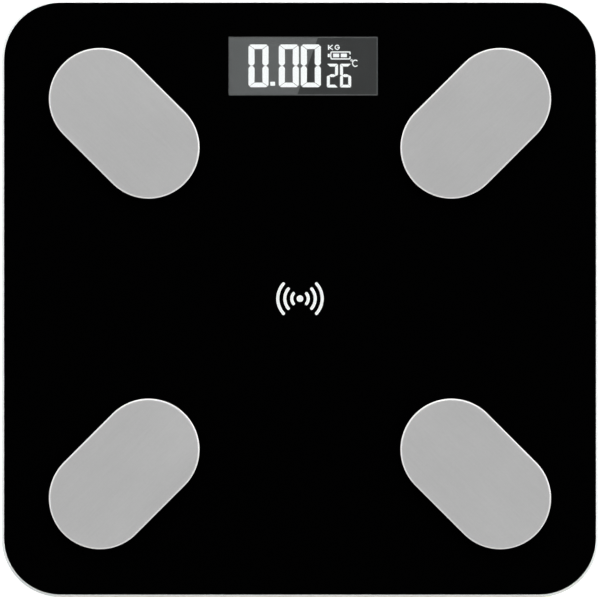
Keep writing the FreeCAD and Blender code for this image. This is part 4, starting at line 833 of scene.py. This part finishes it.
def settle(piece: bpy.types.Object, body: str, slot: str, *nodes: str) -> bpy.types.Object:
    """Gives a finished piece its body and hides the CAD nodes it stands for.

    Args:
        piece: the finished object.
        body: the body it rides on.
        slot: the record's material slot; not used.
        *nodes: the CAD nodes it replaces, if any.

    Returns:
        The piece.
    """
    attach(piece, body)
    if nodes:
        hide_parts(*nodes)
    LOG.info("%s: %d faces, on %s", piece.name, len(piece.data.polygons), body)
    return piece


CREASE = 24.0
MERGE_REACH = 1e-6


def eased_copy(node: str, name: str, finish: Finish, body: str, slot: str) -> bpy.types.Object:
    """A CAD node's own shape with its points joined, so that its curves shade smoothly.

    Args:
        node: the CAD node.
        name: the new piece's name.
        finish: the finish it wears.
        body: the body it rides on.
        slot: the record's material slot.

    Returns:
        The piece.
    """
    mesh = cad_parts[node].data.copy()
    mesh.name = name
    work = bmesh.new()
    work.from_mesh(mesh)
    bmesh.ops.remove_doubles(work, verts=work.verts, dist=MERGE_REACH)
    work.to_mesh(mesh)
    work.free()
    mesh.materials.clear()
    mesh.materials.append(finish.material())
    mesh.polygons.foreach_set("material_index", np.zeros(len(mesh.polygons), np.int32))
    mesh.polygons.foreach_set("use_smooth", np.ones(len(mesh.polygons), bool))
    mesh.set_sharp_from_angle(angle=math.radians(CREASE))
    made = bpy.data.objects.new(name, mesh)
    bpy.context.scene.collection.objects.link(made)
    level = made.modifiers.new("level_faces", "WEIGHTED_NORMAL")
    level.keep_sharp = True
    level.weight = 100
    return settle(made, body, slot, node)


class Shell:
    """A mesh in the making: walls between rings of points and flat faces across loops of them."""

    def __init__(self) -> None:
        """Starts empty."""
        self.points: list[np.ndarray] = []
        self.faces: list[tuple[int, ...]] = []
        self.marks: list[int] = []
        self.count = 0

    def wall(self, rings: np.ndarray, marks: list[int] | int = 0, inward: bool = False) -> tuple:
        """Adds stacked rings and the wall between them.

        Args:
            rings: an array of shape (rings, around, 3), from the bottom up, anticlockwise.
            marks: which finish each band wears, or one for all.
            inward: True where the wall looks towards its middle, as in a hole.

        Returns:
            The point indices of the lowest ring and of the highest.
        """
        count, around = rings.shape[:2]
        quads = ring_faces(count, around, self.count)
        quads = quads[:, ::-1] if inward else quads
        band = np.full(count - 1, marks) if isinstance(marks, int) else np.array(marks)
        self.faces += [tuple(quad) for quad in quads.tolist()]
        self.marks += np.repeat(band, around).tolist()
        indices = self.count + np.arange(count * around).reshape(count, around)
        self.points.append(rings.reshape(-1, 3))
        self.count += count * around
        return indices[0], indices[-1]

    def flat(self, loops: list[np.ndarray], up: bool, mark: int = 0) -> None:
        """Closes a level face between an outer loop and the holes in it.

        Args:
            loops: point indices, the outer loop first.
            up: True where the face looks up.
            mark: which finish it wears.
        """
        every = np.concatenate(self.points)
        index = np.concatenate(loops)
        if len(loops) == 1:
            face = index if up else index[::-1]
            self.faces.append(tuple(face.tolist()))
            self.marks.append(mark)
            return
        level = [[Vector((x, y, 0.0)) for x, y, _ in every[loop].tolist()] for loop in loops]
        corners = index[np.array(tessellate_polygon(level))]
        xy = every[corners][..., :2]
        one, two = xy[:, 1] - xy[:, 0], xy[:, 2] - xy[:, 0]
        area = one[:, 0] * two[:, 1] - one[:, 1] * two[:, 0]
        wrong = (area > 0) != up
        corners[wrong] = corners[wrong][:, ::-1]
        self.faces += [tuple(face) for face in corners[np.abs(area) > 1e-12].tolist()]
        self.marks += [mark] * int(np.sum(np.abs(area) > 1e-12))

    def build(self, name: str, finishes: list[Finish], smooth_angle: float = 30.0) -> bpy.types.Object:
        """Makes the object.

        Args:
            name: its name.
            finishes: the finishes that the marks count into.
            smooth_angle: edges sharper than this stay crisp, in degrees.

        Returns:
            The object.
        """
        every = np.concatenate(self.points)
        return mesh_object(name, every, self.faces, finishes, np.array(self.marks), smooth_angle)


def circle_rings(centre: tuple[float, float], profile: np.ndarray, around: int) -> np.ndarray:
    """Rings of a turned shape whose axis stands at a point of the plane."""
    return turned(lathe(profile, around), 0.0, centre)


def wear(finish: Finish, *nodes: str) -> None:
    """Dresses CAD nodes that keep their shape in a finish.

    Args:
        finish: the finish.
        *nodes: the nodes.
    """
    for node in nodes:
        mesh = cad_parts[node].data
        mesh.materials.clear()
        mesh.materials.append(finish.material())
        LOG.info("%s: keeps its shape, wears %s", node, finish.name)


# ---------------------------------------------------------------------------- pieces
@dataclass
class GlassPlatform:
    """The glass plate with its black back print, its white icon whose ink glows a little as painted light,
    and its foam tape.
    """

    corner_radius: float = 25.5
    top_chamfer: float = 0.9
    bottom_chamfer: float = 0.5
    ink_bite: float = 0.05
    arris: float = 0.12
    hole_radius: float = 3.0
    hole_steps: int = 32
    stud_reach: float = 18.0
    corner_steps: int = 40

    def outline(self, half: np.ndarray) -> Inset:
        """The plate's rounded square as a function of how far it is drawn in.

        Args:
            half: half the plate's width and depth.

        Returns:
            The function.
        """

        def drawn_in(offset: float) -> np.ndarray:
            """Its outline at that offset."""
            half_x, half_y = half - offset
            return rounded_rectangle(half_x, half_y, self.corner_radius - offset, self.corner_steps)

        return drawn_in

    def build_plate(self) -> bpy.types.Object:
        """The glass: polished faces, ground chamfers, satin edge, a hole for each contact's stud.

        The edge's profile is (offset, height): a chamfer, an upright edge and a wider chamfer, its
        arrises eased; the faces are the outline at each end with the holes left out.

        Returns:
            The piece.
        """
        low, high = box_mm("glass_platform")
        half = (high - low)[:2] / 2
        bottom, top = low[2] - self.ink_bite, high[2]
        edge = [
            (self.bottom_chamfer, bottom),
            (0.0, bottom + self.bottom_chamfer),
            (0.0, top - self.top_chamfer),
            (self.top_chamfer, top),
        ]
        profile = softened(edge, self.arris, 2)
        height = profile[:, 1]
        middle = (height[1:] + height[:-1]) / 2
        on_edge = (middle > bottom + self.bottom_chamfer) & (middle < top - self.top_chamfer)
        shell = Shell()
        outer = shell.wall(slab_rings(self.outline(half), profile), np.where(on_edge, 2, 1).tolist())
        loops: tuple[list, list] = ([outer[0]], [outer[1]])
        for corner in Corner:
            wall = np.array([(self.hole_radius, bottom), (self.hole_radius, top)])
            rings = circle_rings(stud_place(corner, self.stud_reach), wall, self.hole_steps)
            ends = shell.wall(rings, 2, True)
            loops[0].append(ends[0])
            loops[1].append(ends[1])
        shell.flat(loops[0], False)
        shell.flat(loops[1], True)
        return settle(
            shell.build("glass_plate", [GLASS, GROUND_EDGE, SATIN_EDGE]),
            "scale", "toughened_glass", "glass_platform",
        )

    def build(self) -> None:
        """Builds the plate and dresses what is bonded under it."""
        self.build_plate()
        wear(BLACK_INK, "screen_print")
        wear(GLOWING_WHITE_INK, "wireless_icon")
        wear(FOAM, "bond_tape_frame", "bond_tape_rings")


def stud_place(corner: Corner, reach: float) -> tuple[float, float]:
    """Where a contact's stud stands: from the pad's middle, a reach towards the platform's middle.

    Args:
        corner: the platform's corner.
        reach: the distance from the pad's middle.

    Returns:
        X and Y, in millimetres.
    """
    low, high = box_mm(f"electrode_{corner.label}")
    centre = (low + high)[:2] / 2
    step = reach * math.sqrt(0.5)
    return tuple(centre - np.array(corner.value) * step)


@dataclass
class ContactPad:
    """One steel contact pad: a stadium plate at 45 degrees whose chamfer wears a partly painted highlight,
    and its stud.
    """

    corner: Corner
    length: float = 74.3
    width: float = 44.3
    plate: float = 0.6
    chamfer: float = 0.6
    drop: float = 0.38
    arris: float = 0.08
    under_bevel: tuple[float, float] = (0.15, 0.12)
    end_steps: int = 64
    stud_radius: float = 1.5
    stud_tip: float = 0.3
    stud_core: float = 0.4
    stud_ease: float = 0.2
    stud_steps: int = 32
    stud_reach: float = 18.0

    def build(self) -> None:
        """Builds the plate and stud as one skin.

        The plate's wall is the stadium drawn in along (offset, height) rows; its flat underside
        has a round hole, from whose rim the stud's wall runs down to an eased, closed tip.
        """
        low, high = box_mm(f"electrode_{self.corner.label}")
        centre = tuple((low + high)[:2] / 2)
        top, tip = high[2], low[2]
        bottom = top - self.plate
        turn = math.atan2(self.corner.value[1], self.corner.value[0])
        under, rise = self.under_bevel
        edge = [
            (under, bottom), (0.0, bottom + rise), (0.0, top - self.drop), (self.chamfer, top),
        ]

        def drawn_in(offset: float) -> np.ndarray:
            """The pad's outline at that offset."""
            return stadium(self.length / 2 - offset, self.width / 2 - offset, self.end_steps)

        profile = softened(edge, self.arris, 2)
        rings = slab_rings(drawn_in, profile)
        # the chamfer's faces, which wear the painted highlight
        highlight_band = (profile[1:, 0] > 0.01) & (profile[1:, 1] > bottom + self.plate / 4)
        shell = Shell()
        lower, upper = shell.wall(turned(rings, turn, centre), np.where(highlight_band, 1, 0).tolist())
        radius, blunt = self.stud_radius, self.stud_tip
        rows = [(self.stud_core, tip), (radius - blunt, tip), (radius, tip + blunt), (radius, bottom)]
        stud = softened(rows, self.stud_ease)
        place = stud_place(self.corner, self.stud_reach)
        stud_rings = circle_rings(place, stud, self.stud_steps)
        stud_tip, stud_top = shell.wall(stud_rings)
        shell.flat([stud_tip], False)
        shell.flat([lower, stud_top], False)
        shell.flat([upper], True)
        finish = BrushedSteel(
            f"satin_steel_{self.corner.label}", (0.665, 0.665, 0.665), 0.44, metallic=1.0,
            drift=0.035, drift_scale=25.0, marks=0.05, angle=turn,
        )
        name = f"contact_pad_{self.corner.label}"
        piece = shell.build(name, [finish, CHAMFER_HIGHLIGHT], 20.0)
        settle(piece, "scale", "contact_steel", f"electrode_{self.corner.label}")


@dataclass
class SevenBars:
    """A numeral of seven bars with chamfered outer corners and thin mitred gaps."""

    width: float
    height: float
    upright: float
    level: float
    ease: float
    gap: float

    def outlines(self, numeral: str, left: float, bottom: float) -> list[np.ndarray]:
        """The numeral's lit bars.

        Args:
            numeral: which numeral.
            left: X of its left side.
            bottom: Y of its lower side.

        Returns:
            Each bar's (x, y) rows.
        """
        bars = self.bars()
        return [bars[Bar(letter)] + np.array([left, bottom]) for letter in NUMERALS[numeral]]

    def bars(self) -> dict[Bar, np.ndarray]:
        """All seven outlines, with the numeral's lower left corner at the origin.

        The top bar and the upper left bar are drawn; the others are their mirror images across
        the numeral's middle lines. The mitre runs from the middle of the outer chamfer to the
        inner corner, and each bar keeps half the gap away from it.
        """
        w, h, v, t, c = self.width, self.height, self.upright, self.level, self.ease
        outer, inner = np.array([c / 2, h - c / 2]), np.array([v, h - t])
        along = (inner - outer) / np.linalg.norm(inner - outer)
        away = np.array([-along[1], along[0]]) * self.gap / 2
        tip, shoulder, flank = h / 2 + 0.3 * self.gap, h / 2 + 0.15 * v, h / 2 + 0.38 * v
        top_left = [outer + away, inner + away]
        top = np.array([top_left[0], [c, h], [w - c, h], [w - top_left[0][0], top_left[0][1]],
                        [w - top_left[1][0], top_left[1][1]], top_left[1]])
        side = np.array([outer - away, inner - away, [v, flank], [0.82 * v, shoulder],
                         [0.64 * v, tip], [0.36 * v, tip], [0.18 * v, shoulder], [0.0, flank],
                         [0.0, h - c]])
        middle = np.array([[0.62 * v, h / 2], [v + 0.35 * t, h / 2 + t / 2],
                           [w - v - 0.35 * t, h / 2 + t / 2], [w - 0.62 * v, h / 2],
                           [w - v - 0.35 * t, h / 2 - t / 2], [v + 0.35 * t, h / 2 - t / 2]])
        across, over = np.array([w, 0.0]), np.array([0.0, h])
        flip_x, flip_y = np.array([-1.0, 1.0]), np.array([1.0, -1.0])
        return {
            Bar.TOP: top,
            Bar.UPPER_LEFT: side,
            Bar.UPPER_RIGHT: side * flip_x + across,
            Bar.LOWER_LEFT: side * flip_y + over,
            Bar.LOWER_RIGHT: side * flip_x * flip_y + across + over,
            Bar.BOTTOM: top * flip_y + over,
            Bar.MIDDLE: middle,
        }


@dataclass
class Display:
    """The lit display under the glass: cell, film with a painted reflection, border line with a painted
    highlight, weight and temperature figures.
    """

    window_x: float = 65.1
    window_y: float = 25.6
    border: float = 0.5
    film: float = 0.03
    figure: float = 0.03
    root: float = 0.01
    cell_bevel: float = 0.15
    cell_corner: float = 0.5
    border_corner: float = 0.35
    # slope and offset of the painted reflection's slanting edge on the display
    reflection_slant_run: float = 0.3624
    reflection_slant_shift: float = 1.94
    large_lefts: tuple[float, ...] = (-23.9, -10.66, -1.04)
    large_foot: float = -9.2
    small_lefts: tuple[float, float] = (10.33, 16.08)
    small_foot: float = -9.33
    point_place: tuple[float, float] = (-13.32, -7.70)
    point_half: tuple[float, float] = (1.05, 0.88)
    point_corner: float = 0.25
    large: SevenBars = field(default_factory=lambda: SevenBars(8.75, 18.65, 2.68, 2.08, 0.95, 0.18))
    small: SevenBars = field(default_factory=lambda: SevenBars(4.85, 10.35, 1.3, 1.25, 0.4, 0.12))

    def __post_init__(self) -> None:
        """Finds the cell's box, its middle and the height of its face."""
        self.low, self.high = box_mm("lcd_cell")
        self.middle = (self.low + self.high)[:2] / 2
        self.face = self.high[2]

    def put(self, name: str, outlines: list[np.ndarray]) -> None:
        """Builds lit flat figures standing on the cell's face.

        Args:
            name: the piece's name.
            outlines: the figures, from the window's middle.
        """
        placed = [np.asarray(outline) + self.middle for outline in outlines]
        piece = prisms(name, placed, self.face - self.root, self.face + self.figure, LCD_LIT)
        settle(piece, "scale", "lcd_glass")

    def build_cell(self) -> None:
        """The cell: a slab with a fine chamfer round both faces."""
        half_x, half_y = (self.high - self.low)[:2] / 2

        def drawn_in(offset: float) -> np.ndarray:
            """The cell's outline at that offset."""
            return rounded_rectangle(half_x - offset, half_y - offset, self.cell_corner, 6)

        bottom, top, bevel = self.low[2], self.high[2], self.cell_bevel
        rows = np.array([(bevel, bottom), (0.0, bottom + bevel), (0.0, top - bevel), (bevel, top)])
        shell = Shell()
        ends = shell.wall(turned(slab_rings(drawn_in, rows), 0.0, tuple(self.middle)))
        shell.flat([ends[0]], False)
        shell.flat([ends[1]], True)
        # the cell's face wears its dark grey with a painted reflection left of the slanting line
        finish = PaintedReflectionFace(
            "display_film_painted_reflection", (0.053, 0.053, 0.054), 0.32, drift=0.01, marks=0.02, specular=0.1,
            middle=(float(self.middle[0]), float(self.middle[1])), run=self.reflection_slant_run,
            shift=self.reflection_slant_shift, half_x=self.window_x / 2,
        )
        settle(shell.build("display_cell", [finish]), "scale", "lcd_glass", "lcd_cell")

    def build_border(self) -> None:
        """The thin paler line round the window, a painted highlight that stands for light caught along its
        edge: a flat ring just inside it.
        """
        half_x, half_y = self.window_x / 2, self.window_y / 2
        shell = Shell()
        heights = (self.face - self.root, self.face + self.film)
        walls = []
        for inset, inward in ((0.0, False), (self.border, True)):
            loop = rounded_rectangle(half_x - inset, half_y - inset, self.border_corner, 6)
            loop = loop + self.middle
            rings = np.stack([levelled(loop, height) for height in heights])
            walls.append(shell.wall(rings, 0, inward))
        shell.flat([walls[0][0], walls[1][0]], False)
        shell.flat([walls[0][1], walls[1][1]], True)
        settle(shell.build("display_border_highlight", [LCD_EDGE_HIGHLIGHT]), "scale", "lcd_glass")

    def build_weight(self) -> None:
        """The weight: three large noughts and the decimal point."""
        bars = [
            outline
            for left in self.large_lefts
            for outline in self.large.outlines("0", left, self.large_foot)
        ]
        point = rounded_rectangle(*self.point_half, self.point_corner, 4) + np.array(self.point_place)
        self.put("weight_figures", [*bars, point])

    def build_temperature(self) -> None:
        """The temperature: a small 2 and 6, a ring and a C."""
        bars = [
            outline
            for numeral, left in zip("26", self.small_lefts)
            for outline in self.small.outlines(numeral, left, self.small_foot)
        ]
        ring = ribbon(arc((21.1, 2.5), 0.34, 0.0, 345.0, 22), 0.28, closed=True)
        curve = arc((0.0, 0.0), 1.0, 42.0, 318.0, 24) * np.array([1.2, 1.38])
        letter = ribbon(curve + np.array([22.75, 1.25]), 0.46)
        self.put("temperature_figures", [*bars, ring, letter])

    def build_unit(self) -> None:
        """The unit: K and G as strokes of even width."""
        k = [
            ribbon(np.array([(11.08, 7.12), (11.08, 9.25)]), 0.50),
            ribbon(np.array([(12.85, 9.25), (11.45, 8.1), (12.95, 7.12)]), 0.46),
        ]
        bowl = arc((14.85, 8.2), 0.92, 38.0, 335.0, 22)
        g = [ribbon(np.concatenate([bowl, [(15.75, 8.22), (14.95, 8.22)]]), 0.42)]
        self.put("unit_letters", [*k, *g])

    def build_charge(self) -> None:
        """The charge symbol: an open case with a nub, two full bars and a slanting end."""
        case = softened(
            [
                (20.45, 5.1), (20.45, 6.17), (12.2, 6.17), (11.95, 4.65), (12.2, 3.13),
                (20.45, 3.13), (20.45, 4.2),
            ],
            0.3,
            3,
        )
        full = [
            rounded_rectangle(1.34, 0.8, 0.15, 3) + np.array([x, 4.66]) for x in (14.35, 17.75)
        ]
        nub = rounded_rectangle(0.45, 0.72, 0.2, 3) + np.array([11.15, 4.65])
        self.put("charge_symbol", [ribbon(case, 0.50), nub, *full])

    def build(self) -> None:
        """Builds the display from its cell up."""
        self.build_cell()
        self.build_border()
        self.build_weight()
        self.build_temperature()
        self.build_unit()
        self.build_charge()
        wear(LIGHT_GUIDE, "lcd_backlight")
        wear(BLACK_ABS, "lcd_frame")
        wear(STRIP, "lcd_contact_strip")


@dataclass
class Base:
    """The white moulding under the platform, its label and its unit button."""

    label_border: float = 0.35
    label_inset: float = 1.6
    label_corner: float = 1.2
    label_rows: int = 4
    line_inset: float = 1.0
    line_proud: float = 0.02
    line_root: float = 0.03
    divider: float = 0.25

    def build_label_lines(self) -> None:
        """The label's border and ruled rows, as flat strips on its face."""
        low, high = box_mm("rating_label")
        centre = (low + high)[:2] / 2
        half = (high - low)[:2] / 2 - self.label_inset
        rows = np.linspace(-half[1], half[1], self.label_rows + 1)[1:-1]
        end = half[0] - self.line_inset
        lines = [[(-end, row), (end, row)] for row in rows.tolist()]
        post = half[0] * self.divider
        lines.append([(post, self.line_inset - half[1]), (post, rows[-1])])
        outlines = [ribbon(np.array(line), self.label_border) + centre for line in lines]
        rim = rounded_rectangle(*half, self.label_corner, 6)
        outlines.append(ribbon(rim, self.label_border, closed=True) + centre)
        bottom, top = low[2] - self.line_proud, low[2] + self.line_root
        settle(prisms("label_rules", outlines, bottom, top, LABEL_LINE), "scale", "label_film")

    def build(self) -> None:
        """Builds the moulding and what is on it."""
        eased_copy("base_shell", "base_moulding", WHITE_MOULDING, "scale", "white_abs")
        eased_copy("rating_label", "blank_label", LABEL, "scale", "label_film")
        self.build_label_lines()
        eased_copy("unit_button", "unit_key", SMOOTH_MOULDING, "unit_button", "white_abs")
        wear(BLACK_ABS, "unit_switch", "unit_switch_plunger")


@dataclass
class Foot:
    """One foot: rubber pad in a cup that gives a little under load, and its fixed ring."""

    corner: Corner

    def build(self) -> None:
        """Builds the moving cup and pad and the fixed ring."""
        label = self.corner.label
        body = f"foot_{label}"
        eased_copy(f"foot_cup_{label}", f"cup_{label}", SMOOTH_MOULDING, body, "white_abs")
        eased_copy(f"foot_pad_{label}", f"pad_{label}", RUBBER, body, "grey_rubber")
        eased_copy(f"foot_ring_{label}", f"ring_{label}", WHITE_MOULDING, "scale", "white_abs")
        wear(CELL_STEEL, f"load_cell_{label}")


@dataclass
class BatteryBay:
    """The battery door with its latch, the two cells and their contacts."""

    def build(self) -> None:
        """Builds the door and dresses what it covers."""
        eased_copy("battery_door", "door_panel", WHITE_MOULDING, "battery_door", "white_abs")
        eased_copy("battery_door_latch", "door_latch", WHITE_MOULDING, "battery_door", "white_abs")
        for node in ("battery_cell_rear", "battery_cell_front"):
            eased_copy(node, node.replace("battery_cell", "cell"), JACKET, "scale", "battery_jacket")
        eased_copy("battery_springs", "cell_springs", PLATED, "scale", "plated_steel")
        wear(PLATED, "battery_contacts")


@dataclass
class Inside:
    """Everything the closed base hides: board, chips, leads, fixings."""

    def build(self) -> None:
        """Dresses the hidden nodes."""
        wear(BOARD, "main_board")
        wear(EPOXY, "board_chips")
        wear(PLATED, "wireless_module", "board_screws", "foot_ring_screws", "electrode_nuts")
        wear(PLATED, "electrode_terminals")
        wear(NYLON, "board_connectors")
        wear(SILICONE, "gauge_coats")
        wear(ADHESIVE, "electrode_adhesive")
        wear(BLACK_ABS, "electrode_washers")
        wear(LEAD, "load_cell_leads", "electrode_leads", "battery_leads")


# ---------------------------------------------------------------------------- studio
@dataclass
class Lamp:
    """A soft square lamp.

    Its place is given by the direction it stands in and how far off, and it faces a point on
    the object.
    """

    name: str
    azimuth: float
    elevation: float
    reach: float
    size: float
    power: float
    mirrored: bool = False

    def build(self) -> None:
        """Makes the lamp."""
        data = bpy.data.lights.new(self.name, "AREA")
        data.shape = "SQUARE"
        data.size = self.size
        data.energy = self.power
        lamp = bpy.data.objects.new(self.name, data)
        around, above = math.radians(self.azimuth), math.radians(self.elevation)
        away = Vector(
            (math.cos(above) * math.cos(around), math.cos(above) * math.sin(around), math.sin(above))
        )
        lamp.location = away * self.reach
        lamp.rotation_euler = away.to_track_quat("Z", "Y").to_euler()
        lamp.visible_glossy = lamp.visible_transmission = self.mirrored
        bpy.context.scene.collection.objects.link(lamp)


@dataclass
class Studio:
    """Pale floor, soft sky with a dark cap overhead, lamps, and the camera straight above."""

    lens: float = 200.0
    floor_gap: float = 0.05
    floor_radius: float = 6000.0
    floor_steps: int = 96
    view_width: float = 261.2
    view_height: float = 24.6
    aim: tuple[float, float] = (0.0, 0.05)
    horizon: float = 0.45
    zenith: float = 0.95
    sway: float = 0.18
    sway_azimuth: float = 120.0
    cap_edge: float = 0.972
    cap_core: float = 0.982
    lamps: tuple[Lamp, ...] = (
        Lamp("key", 95.0, 42.0, 1.6, 1.0, 15.0),
        Lamp("left", 178.0, 38.0, 1.6, 0.8, 2.5),
        Lamp("right", 5.0, 38.0, 1.6, 0.8, 10.0),
        Lamp("low_key", 215.0, -50.0, 1.4, 0.6, 9.0),
        Lamp("low_fill", 60.0, -70.0, 1.4, 1.0, 3.5),
    )

    def build_floor(self) -> None:
        """A wide disc of pale floor, seen from above only and clear to lamps."""
        rim = lathe(np.array([(self.floor_radius, -self.floor_gap)]), self.floor_steps)[0]
        floor = mesh_object("pale_floor", rim, [tuple(range(self.floor_steps))], [FLOOR])

    def build_sky(self) -> None:
        """A world that is paler upwards and to the rear left, and black in a small cap overhead.

        Its level is the horizon's, rising to the zenith's with the ray's Z, times one plus the
        sway's share of the ray's part along the sway's azimuth.
        """
        world = bpy.data.worlds.new("soft_sky")
        world.use_nodes = True
        bpy.context.scene.world = world
        tree = Tree(world.node_tree)
        ray = tree.node("ShaderNodeTexCoord").outputs["Generated"]
        rise = tree.node("ShaderNodeSeparateXYZ", {0: ray}).outputs["Z"]
        cap = tree.remap(rise, self.cap_edge, self.cap_core, 1.0, 0.0)
        lift = tree.remap(rise, 0.1, 0.9, self.horizon, self.zenith)
        turn = math.radians(self.sway_azimuth)
        towards = (math.cos(turn), math.sin(turn), 0.0)
        lean = tree.node("ShaderNodeVectorMath", {0: ray, 1: towards}, operation="DOT_PRODUCT")
        swayed = tree.math("MULTIPLY_ADD", lean.outputs["Value"], self.sway, 1.0)
        level = tree.math("MULTIPLY", tree.math("MULTIPLY", lift, cap), swayed)
        back = tree.node("ShaderNodeBackground", {"Color": (1.0, 1.0, 1.0, 1.0), "Strength": level})
        output = tree.node("ShaderNodeOutputWorld")
        tree.tree.links.new(back.outputs[0], output.inputs[0])

    def build_camera(self) -> None:
        """A long lens straight above the middle of the platform."""
        data = bpy.data.cameras.new("overhead")
        data.lens = self.lens
        data.sensor_width = 36.0
        reach = self.view_width * self.lens / data.sensor_width
        data.clip_start, data.clip_end = 0.1, 20.0
        camera = bpy.data.objects.new("overhead", data)
        camera.location = Vector((*self.aim, self.view_height + reach)) * MM
        bpy.context.scene.collection.objects.link(camera)
        bpy.context.scene.camera = camera

    def build(self) -> None:
        """Builds the studio and sets plain tones."""
        self.build_floor()
        self.build_sky()
        for lamp in self.lamps:
            lamp.build()
        self.build_camera()
        bpy.context.scene.view_settings.view_transform = "Standard"


def main() -> None:
    """Builds the studio and every sub-assembly in order."""
    logging.basicConfig(level=logging.INFO, format="%(message)s")
    Studio().build()
    GlassPlatform().build()
    for corner in Corner:
        ContactPad(corner).build()
    Display().build()
    Base().build()
    for corner in Corner:
        Foot(corner).build()
    BatteryBay().build()
    Inside().build()


if __name__ == "__main__":
    main()
